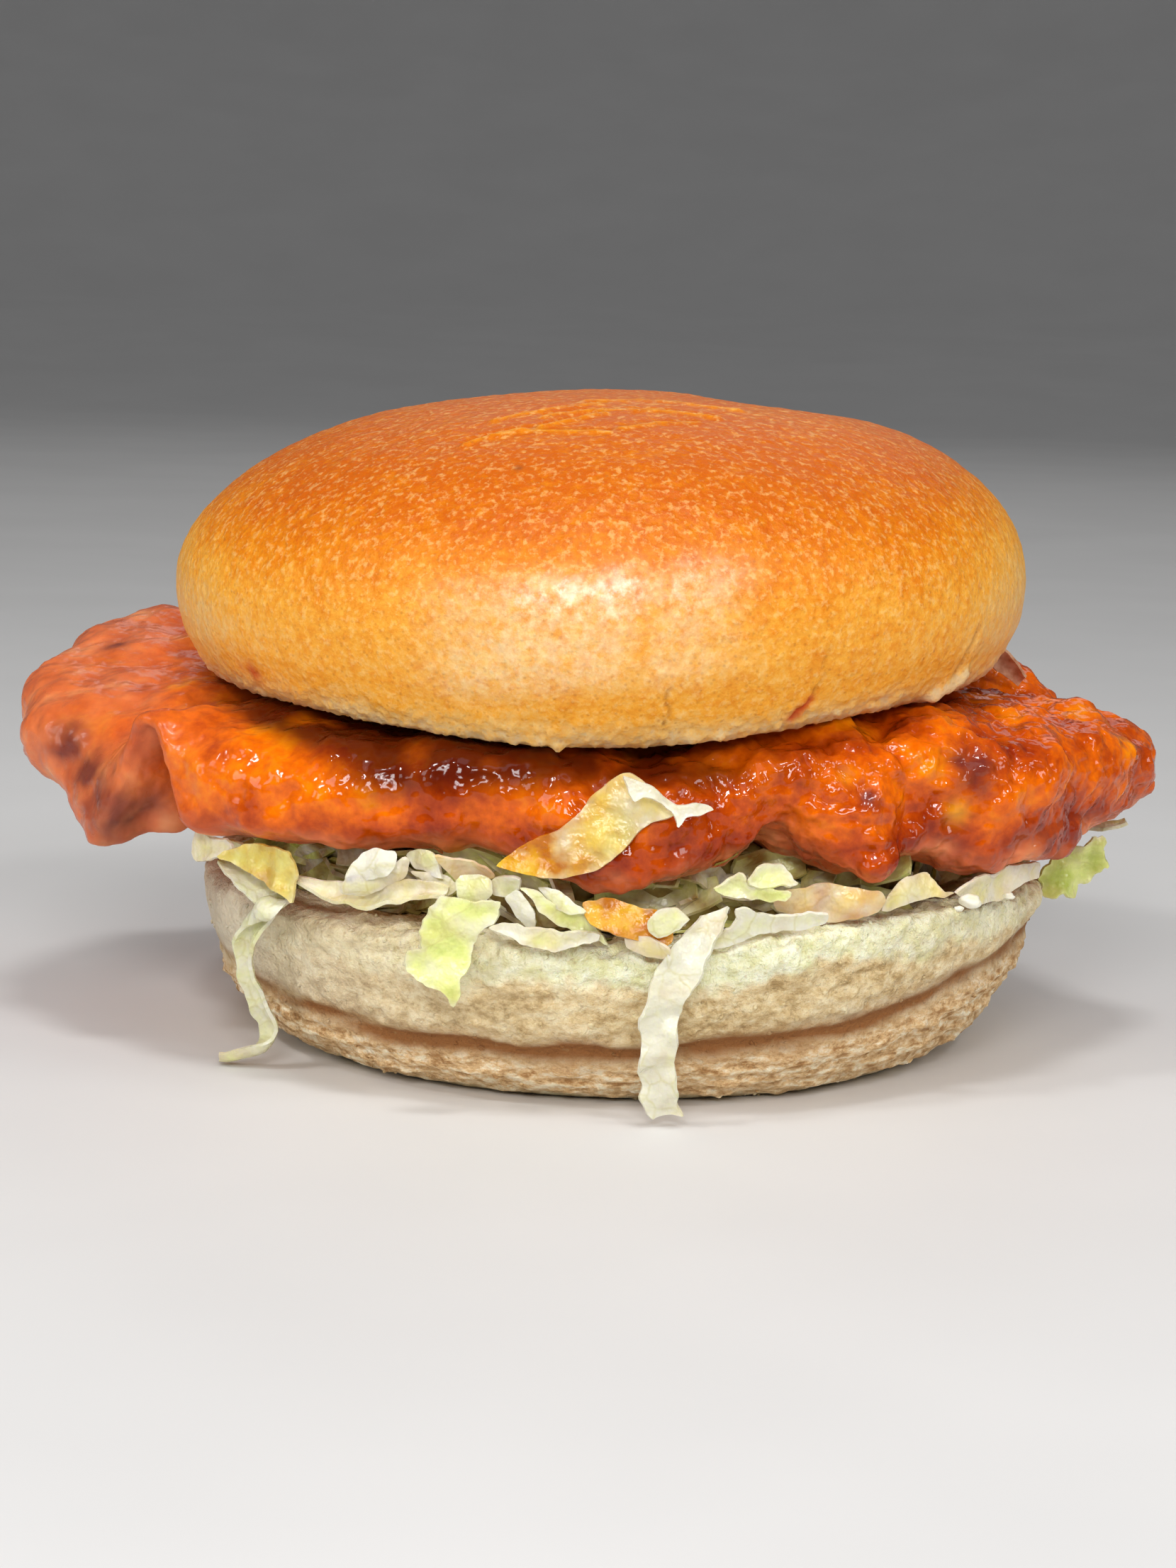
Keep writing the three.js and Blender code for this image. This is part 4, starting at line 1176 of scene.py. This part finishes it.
TORN_NODES = {  # the CAD leaves that are torn pieces
    "leaf_front_left": [
        ((-59, 0), [
            (-20.5, 28.6), (-18.1, 28.6), (-16.1, 28.3), (-13, 28.3), (-13.5, 26.1), (-15.1, 24.6),
            (-16.2, 22.1), (-16.9, 19.7), (-17.6, 17.9), (-17.9, 15.3), (-18.7, 14.9), (-19.6, 16.6),
            (-21.7, 17.2), (-23.5, 18.6), (-24.6, 19.9), (-24.3, 21.6), (-22.7, 22.4), (-23.1, 24.3),
            (-22.2, 26.1)
        ], {"tint": 0.62, "cup": 0.5, "fold": 1.2, "ragged": 0.3}),
    ],
    "leaf_front_right": [
        ((-58.3, 0.1), [
            (13.6, 30.2), (15.5, 31.6), (16.9, 32.1), (18, 30.7), (20.5, 30.2), (23.1, 29.7), (22.6, 28.7),
            (20, 28.7), (17.9, 28.9), (16.1, 29.1), (14.1, 29.6)
        ], {"tint": 0.6, "cup": 0.7, "fold": 1.4, "ragged": 0.3}),
    ],
    "leaf_right": [
        ((-21.7, 0.21), [
            (60.3, 25.3), (63.5, 27.1), (66.5, 28.4), (69.1, 29.5), (69.9, 25.8), (68.5, 23.4), (66.9, 22.4),
            (65.2, 20.7), (63.5, 21.4), (61.8, 20.5), (60.8, 21.7)
        ], {"tint": 0.85, "cup": 0.4, "fold": 3.0, "ruffle": 1.6, "ragged": 0.6}),
    ],
    "leaf_on_sauce": [
        ((-57.8, -0.02), [
            (-13.5, 32.6), (-11.5, 34.5), (-8.6, 36.3), (-5.8, 37.4), (-3.5, 39.5), (-1.8, 41.6),
            (-0.1, 43.1), (1.6, 44.3), (2.7, 44.5), (3.8, 43.8), (5.8, 42.7), (7.6, 41), (8.5, 39.6),
            (7.2, 39), (5.3, 38.5), (3.8, 37.3), (2.7, 35.7), (0.2, 33.4), (-2.1, 32.1), (-5, 31.5),
            (-7.6, 31.4), (-9.7, 31.8), (-12, 32.3)
        ], {"tint": 0.45, "stain": 1.0, "fade": (1.25, 0.12), "cup": 0.5, "fold": 1.2, "ragged": 0.1,
            "lean": (0.15, 0.0)}),
        ((-59.9, 0.04), [
            (1.8, 44.6), (3.6, 44), (5.6, 43.2), (7.1, 41.8), (8.6, 41.1), (10.6, 41.6), (12.9, 40.8),
            (11.8, 40.1), (9.8, 39.7), (8.8, 38.3), (8.1, 40), (6.3, 41.4), (4.5, 42), (3.1, 41.4),
            (2.4, 43.2)
        ], {"tint": -0.3, "cup": 0.8, "ragged": 0.15, "lean": (0.15, 0.0)}),
    ],
}


TORN_LOOK = {  # what a torn piece has where its own look says nothing; mm and shares
    "ragged": 0.2, "cup": 0.5, "ruffle": 0.7, "fold": 1.2, "stain": 0.0, "fade": (1.0, 1.0),
}
ONION_STATIONS = [  # as in LEAF_NODES
    ((52.5, 12.5, 53), (0.5, -0.3, 0.8), 2.0), ((56, 12, 51.2), (0.5, -0.3, 0.8), 3.2),
    ((59.4, 13.5, 48), (0.5, -0.4, 0.7), 2.0),
]


def torn_leaf(name, finish, plane, outline, look, neighbours):
    """A torn piece of leaf: its outline filled, crumpled, pressed clear of its neighbours and thickened."""
    look = {**TORN_LOOK, **look}
    seed = look["seed"]
    loop = rounded_loop([(x, 0, z) for x, z in outline])
    rim = at_shares(loop, np.linspace(0, 1, int(arc_lengths(loop)[-1] / RIM_STEP), endpoint=False))
    for size, share in ((2.4, 1.2), (1.0, 1.0)):
        rim[:, 0] += look["ragged"] * share * swell(rim, size, seed)
        rim[:, 2] += look["ragged"] * share * swell(rim, size, seed + 1)
    flat = rim[:, [0, 2]]
    low, high = flat.min(axis=0), flat.max(axis=0)
    across, up = (np.arange(low[axis], high[axis], FILL_STEP) for axis in (0, 1))
    inner = np.array([(x, z) for x in across for z in up])
    inner = inner[np.linalg.norm(inner[:, None] - flat, axis=-1).min(axis=1) > 0.3]
    ring = [(i, (i + 1) % len(flat)) for i in range(len(flat))]
    spots = [Vector(spot) for spot in np.vstack([flat, inner]).tolist()]
    spots, _, faces, *_ = geometry.delaunay_2d_cdt(spots, ring, [], 1, 1e-5)
    spots = np.array([spot[:] for spot in spots])
    points = np.stack([spots[:, 0], plane[0] + plane[1] * spots[:, 0], spots[:, 1]], axis=-1)
    inward = np.linalg.norm(spots[:, None] - flat, axis=-1).min(axis=1)
    off = spots - (low + high) / 2
    lean = look.get("lean", (0.35 * math.sin(2.1 * seed), 0.3 * math.sin(3.7 * seed)))
    points[:, 1] += lean[0] * off[:, 1] + lean[1] * off[:, 0]
    points[:, 1] += look["cup"] * (1 - np.exp(-inward / 2.0)) * math.copysign(0.8, math.sin(5.3 * seed))
    points[:, 1] += look["ruffle"] * (swell(points, 4, seed + 2) + 0.4 * swell(points, 1.8, seed + 3))
    points[:, 1] += look["fold"] * np.abs(swell(points, 5, seed + 4, (1, 1, 1.6)))
    points = drawn(pressed_clear(place(points), neighbours, TORN_GAP))
    start, end = look["fade"]
    along = (points[:, 0] - points[:, 0].min()) / np.ptp(points[:, 0])
    masks = {
        "tint": look["tint"] + 0.3 * swell(points, 6, seed + 5) - 0.3 * np.exp(-inward / 0.5),
        "stain": np.clip(look["stain"] * (start + (end - start) * along), 0, 1),
    }
    piece = make_piece(name, points, faces, finish, masks)
    thicken(piece, TORN_THICKNESS)
    return plain_copy(piece, name, finish)


def torn_group(name, finish, parts, neighbours, seed, **defaults):
    """One piece of several torn ones, each with a seed of its own."""
    made = []
    for number, (plane, outline, look) in enumerate(parts):
        look = {"seed": seed + 8 * number, **defaults, **look}
        made.append(torn_leaf(f"{name}_{number}", finish, plane, outline, look, neighbours))
    return joined(name, made, ("tint", "stain"))


def leaf_nodes(recipe, lettuce, onion, neighbours):
    """Each hanging leaf of the CAD part as a thin leaf, and the onion sliver."""
    for name, (stations, look) in LEAF_NODES.items():
        piece = leaf(recipe, name + "_leaf", lettuce, *map(list, zip(*stations)), look)
        press_mesh_clear(piece, neighbours, LEAF_GAP)
        attach(piece, "lettuce", name)
    for name, parts in TORN_NODES.items():
        piece = torn_group(name + "_leaf", lettuce, parts, neighbours, 30, lean=(0.0, 0.0))
        attach(piece, "lettuce", name)
    look = {"seed": 12, "ruffle": 0.8}
    sliver = leaf(recipe, "onion_sliver_strip", onion, *map(list, zip(*ONION_STATIONS)), look)
    attach(sliver, "onion", "onion_sliver")


def joined(name, parts, labels):
    """One piece from several of the same finish, keeping the labelled masks."""
    points, faces, masks = [], [], {label: [] for label in labels}
    finish = parts[0].data.materials[0]
    for part in parts:
        mesh = part.data
        start = len(points)
        points += [v.co[:] for v in mesh.vertices]
        faces += [[start + v for v in face.vertices] for face in mesh.polygons]
        for label in labels:
            masks[label] += [value.value for value in mesh.attributes[label].data]
        bpy.data.objects.remove(part)
    masks = {label: np.array(values) for label, values in masks.items()}
    piece = make_piece(name, drawn(points), faces, finish, masks)
    piece.data.set_sharp_from_angle(angle=SHARP_ANGLE)
    return piece


def shred_kinds(recipe, lettuce):
    """A few short shreds round the origin, to be scattered over the heap."""
    kinds = bpy.data.collections.new("shred_kinds")
    shapes = [
        ([(-11, 0, 0), (-4, 1, 1.2), (4, -1, 0.6), (11, 0.5, 2)], 4.6, (0, 30), 0.0),
        ([(-8, 0, 1), (-3, 0.5, 0), (3, 0, 1), (8, 1.5, 3)], 5.2, (20, -20), 0.35),
        ([(-12, -1, 0), (-5, 0, 1), (2, 1.5, 0.2), (9, 0, 1.6)], 3.6, (-25, 25), 0.6),
        ([(-7, 1, 2), (-2, 0, 0.4), (3, -0.5, 0.8), (7, 0, 0)], 5.4, (0, 60), 0.15),
        ([(-10, 0, 0), (-3, -1, 1.6), (4, 0, 2), (9, 2, 0.4)], 4.2, (40, 0), 0.8),
    ]
    for number, (middle, width, twist, tint) in enumerate(shapes):
        look = {
            "seed": 60 + number, "along": 9, "lanes": 3, "tint": (tint, tint + 0.15), "cup": 0.15,
            "ruffle": 1.4, "thickness": 0.6,
        }
        widths, across = [0.7 * width, width, width, 0.7 * width], across_for(middle, twist)
        kind = leaf(recipe, f"shred_kind_{number}", lettuce, middle, across, widths, look, placed=False)
        bpy.context.scene.collection.objects.unlink(kind)
        kinds.objects.link(kind)
    return kinds


def scatter_recipe():
    """Copies of a collection's kinds laid on the carrier's surface, their long way round the burger."""
    r = Recipe(
        "scatter_on_surface", Kinds="Collection", Density="Float", Seed="Int", Turn="Vector",
        Smallest="Float", Largest="Float", Finish="Material",
    )
    weight = r.add("GeometryNodeInputNamedAttribute", {"Name": "scatter"}, data_type="FLOAT").outputs[0]
    density = r.times(r.value("Density"), weight)
    given = {"Mesh": r.value("Geometry"), "Density": density, "Seed": r.value("Seed")}
    points = r.add("GeometryNodeDistributePointsOnFaces", given)
    normal = points.outputs["Normal"]
    level = r.vector("CROSS_PRODUCT", (0.0, 0.0, 1.0), normal)
    upright = r.add("FunctionNodeAlignRotationToVector", {"Vector": normal}, axis="Z").outputs[0]
    given = {"Rotation": upright, "Vector": level}
    turned = r.add("FunctionNodeAlignRotationToVector", given, axis="X", pivot_axis="Z").outputs[0]
    least = r.vector("SCALE", r.value("Turn"), scale=-1.0)
    given = {"Min": least, "Max": r.value("Turn"), "Seed": r.value("Seed")}
    chance = r.add("FunctionNodeRandomValue", given, data_type="FLOAT_VECTOR").outputs[0]
    spin = r.add("FunctionNodeRotateRotation", {0: turned, 1: chance}, rotation_space="LOCAL").outputs[0]
    size = r.add("FunctionNodeRandomValue", data_type="FLOAT")
    for socket in size.inputs:
        if socket.enabled and socket.name in ("Min", "Max"):
            r.feed(socket, r.value("Smallest" if socket.name == "Min" else "Largest"))
    kinds = r.add(
        "GeometryNodeCollectionInfo",
        {"Collection": r.value("Kinds"), "Separate Children": True, "Reset Children": True},
    ).outputs[0]
    given = {
        "Points": points.outputs["Points"], "Instance": kinds, "Pick Instance": True, "Rotation": spin,
        "Scale": size.outputs[1],
    }
    r.close(r.add("GeometryNodeInstanceOnPoints", given).outputs[0])
    return r


def drop_kinds(kinds):
    """Removes the kinds once they are scattered."""
    for kind in list(kinds.objects):
        bpy.data.objects.remove(kind)
    bpy.data.collections.remove(kinds)


def scatter_carrier(name, mesh, weights):
    """A copy of the mesh for the scatter recipe: the weights say how densely it is covered."""
    carrier = in_scene(name, mesh.copy())
    set_mask(carrier.data, "scatter", weights)
    return carrier


def mesh_from(body, name, finish):
    """The edited body as a mesh of one finish; the body is freed."""
    mesh = bpy.data.meshes.new(name)
    body.to_mesh(mesh)
    body.free()
    mesh.materials.append(finish)
    return mesh


CORE_MIDDLE = (HEEL_X, 0, 27)
CORE_SCALE = (0.93, 0.93, 0.97)  # of the CAD bed
SHREDS = {"Density": 45000.0, "Seed": 5, "Turn": (0.35, 0.3, 0.45), "Smallest": 0.7, "Largest": 1.05}
CRUMBS = {"Density": 60000.0, "Seed": 9, "Turn": (0.6, 0.6, 3.1), "Smallest": 0.35, "Largest": 1.1}
CRUMB_SHAPES = [(1, 0.8, 0.5), (1.3, 0.6, 0.45), (0.8, 0.9, 0.6)]
DROP_SHAPE = (1.25, 0.8, 0.75)
DRESSING_DROPS = [  # middle, radius
    ((47.0, -43.4, 27.0), 1.2), ((52.6, -37.4, 26.6), 0.6), ((45.4, -44.6, 26.2), 0.5),
]


def lettuce_heap(recipe, scatter, lettuce, core, neighbours):
    """A smaller core of the CAD bed, with shreds all round its edge."""
    body = bmesh.new()
    body.from_mesh(frame["nodes"]["lettuce_bed"].data)
    bmesh.ops.remove_doubles(body, verts=body.verts, dist=0.01 * MM)
    middle = Vector(place(CORE_MIDDLE))
    for vertex in body.verts:
        vertex.co = middle + (vertex.co - middle) * Vector(CORE_SCALE)
    mesh = mesh_from(body, "lettuce_core", core)
    attach(in_scene("lettuce_core", mesh), "lettuce", "lettuce_bed")

    spots = np.array([v.co for v in mesh.vertices]) - np.array(middle)
    outer = smoothstep(np.hypot(spots[:, 0], spots[:, 1]), 38 * MM, 44 * MM)
    carrier = scatter_carrier("heap_edge", mesh, outer)
    kinds = shred_kinds(recipe, lettuce)
    heap = scatter.run(carrier, "heap_shreds", Kinds=kinds, Finish=lettuce, **SHREDS)
    drop_kinds(kinds)
    press_mesh_clear(heap, neighbours, SHRED_GAP)
    attach(heap, "lettuce")


# Crumbs and dressing

def lumpy_ball(body, detail, radius, shape, depth, chance, middle=(0, 0, 0)):
    """Adds an uneven flattened ball of that radius in mm to the body, about a middle in metres."""
    made = bmesh.ops.create_icosphere(body, subdivisions=detail, radius=radius * MM)
    for vertex in made["verts"]:
        push = 1 + depth * noise.noise(vertex.co / (radius * MM) * 1.3 + Vector(chance))
        vertex.co = Vector(middle) + vertex.co * push * Vector(shape)


def dressing_drops(finish):
    body = bmesh.new()
    for number, (middle, radius) in enumerate(DRESSING_DROPS):
        lumpy_ball(body, 3, radius, DROP_SHAPE, 0.35, (7 * number, 0, 0), place(middle))
    mesh = mesh_from(body, "dressing_drops", finish)
    shade_smooth(mesh)
    attach(in_scene("dressing_drops", mesh), "bun_crumb")


def heel_crumbs(scatter, finish, heel):
    """Crumbs standing off the torn wall of the heel."""
    kinds = bpy.data.collections.new("crumb_kinds")
    for number, shape in enumerate(CRUMB_SHAPES):
        body = bmesh.new()
        lumpy_ball(body, 1, 0.5, shape, 0.6, (9 * number, 3, 1))
        mesh = mesh_from(body, f"crumb_kind_{number}", finish)
        kinds.objects.link(bpy.data.objects.new(mesh.name, mesh))
    weights = np.zeros(len(heel.data.vertices), np.float32)
    heel.data.attributes["crumbly"].data.foreach_get("value", weights)
    carrier = scatter_carrier("crumbly_wall", heel.data, weights)
    crumbs = scatter.run(carrier, "heel_crumbs", Kinds=kinds, Finish=finish, **CRUMBS)
    drop_kinds(kinds)
    press_mesh_clear(crumbs, [], 0)
    attach(crumbs, "bun_crumb")


# Camera, lights and floor

def make_camera():
    pitch, roll = CAMERA_PITCH, CAMERA_ROLL
    back = Vector((0, -math.cos(pitch), math.sin(pitch)))
    level, rise = Vector((1, 0, 0)), Vector((0, math.sin(pitch), math.cos(pitch)))
    right = level * math.cos(roll) + rise * math.sin(roll)
    up = rise * math.cos(roll) - level * math.sin(roll)
    data = bpy.data.cameras.new("photo_view")
    data.lens, data.sensor_width, data.sensor_fit = CAMERA_LENS, CAMERA_SENSOR, "AUTO"
    data.clip_start, data.clip_end = 0.01, 20
    camera = in_scene("photo_view", data)
    turn = Matrix((right, up, back)).transposed().to_4x4()
    camera.matrix_world = Matrix.Translation(AIM + back * CAMERA_DISTANCE) @ turn
    bpy.context.scene.camera = camera


FLOOR_RINGS = [(1.4, 0.0), (1.9, 0.05), (2.4, 0.25), (2.8, 0.6), (3.0, 1.1)]  # radius and height, metres
FLOOR_SIDES = 64
SKY_STRENGTH = 0.12
LIT_HEIGHT = 0.045  # metres, of the point that the lights face
SOFTBOXES = [  # name, azimuth and elevation in degrees, distance, width and height in metres, power in watts
    ("overhead", 10, 68, 1.4, 0.9, 0.9, 2.65),
    ("key", -6, 28, 0.9, 0.26, 0.18, 2.5),
    ("left_window", -62, 22, 0.9, 0.3, 0.4, 1.55),
    ("right_window", 64, 28, 0.9, 0.22, 0.3, 1.5),
    ("rear_window", 172, 32, 1.2, 0.8, 0.4, 0.8),
    ("front_lamp", 8, 23, 0.9, 0.12, 0.08, 0.9),
    ("left_lamp", -52, 48, 0.9, 0.1, 0.07, 1.3),
    ("right_lamp", 38, 42, 0.9, 0.1, 0.07, 0.9),
    ("top_lamp", 8, 72, 0.9, 0.17, 0.1, 1.9),
]


def softbox(name, azimuth, elevation, distance, width, height, power):
    """An area light aimed at the burger: azimuth 0 is the shown front, growing to the right."""
    turn, rise = math.radians(azimuth), math.radians(elevation)
    away = Vector((math.sin(turn) * math.cos(rise), -math.cos(turn) * math.cos(rise), math.sin(rise)))
    data = bpy.data.lights.new(name, "AREA")
    data.shape, data.size, data.size_y = "RECTANGLE", width, height
    data.energy = power
    lamp = in_scene(name, data)
    lamp.location = Vector((0, 0, LIT_HEIGHT)) + away * distance
    lamp.visible_camera = False
    lamp.rotation_mode = "QUATERNION"
    lamp.rotation_quaternion = away.to_track_quat("Z", "Y")


def make_stage():
    """A wide pale dish, flat under the burger and rising far away on all sides."""
    turns = [math.tau * step / FLOOR_SIDES for step in range(FLOOR_SIDES)]
    points = [(r * math.cos(turn), r * math.sin(turn), z) for r, z in FLOOR_RINGS for turn in turns]
    points.append((0, 0, 0))
    sides = [(step, (step + 1) % FLOOR_SIDES) for step in range(FLOOR_SIDES)]
    faces = [(len(points) - 1, a, b) for a, b in sides]
    for low in range(0, len(points) - 1 - FLOOR_SIDES, FLOOR_SIDES):
        high = low + FLOOR_SIDES
        faces += [(low + a, high + a, high + b, low + b) for a, b in sides]
    mesh = bpy.data.meshes.new("pale_floor")
    mesh.from_pydata(points, [], faces)
    shade_smooth(mesh)
    f = Finish("pale_floor", Roughness=0.7)
    f.set(Base_Color=f.ramp(f.grain(60, 2), (0.3, (0.70, 0.69, 0.68)), (0.7, (0.73, 0.72, 0.71))))
    mesh.materials.append(f.material)
    floor = in_scene("pale_floor", mesh)


def make_light():
    world = bpy.data.worlds.new("studio")
    world.use_nodes = True
    sky = world.node_tree.nodes["Background"]
    sky.inputs["Color"].default_value = (0.95, 0.97, 1.0, 1)
    sky.inputs["Strength"].default_value = SKY_STRENGTH
    bpy.context.scene.world = world
    for row in SOFTBOXES:
        softbox(*row)
    bpy.context.scene.view_settings.view_transform = "Standard"
    bpy.context.scene.view_settings.look = "None"


make_camera()
make_stage()
make_light()

crumb = crumb_finish()
lettuce = lettuce_finish("iceberg_lettuce", 0.0)
fillet = build_fillet(sauce_finish())
fillet_surface = surface_of(fillet)
crown = build_crown(crust_finish(), fillet_surface)
heel = build_heel(crumb)
neighbours = [surface_of(heel), fillet_surface]

leaf_maker = leaf_recipe()
scatterer = scatter_recipe()
lettuce_heap(leaf_maker, scatterer, lettuce_finish("shaded_lettuce", 0.7), shaded_core_finish(), neighbours)
leaf_nodes(leaf_maker, lettuce, onion_finish(), neighbours)
attach(torn_group("front_shreds", lettuce, TORN_LEAVES, neighbours, 100), "lettuce")
heel_crumbs(scatterer, crumb, heel)
dressing_drops(dressing_finish())
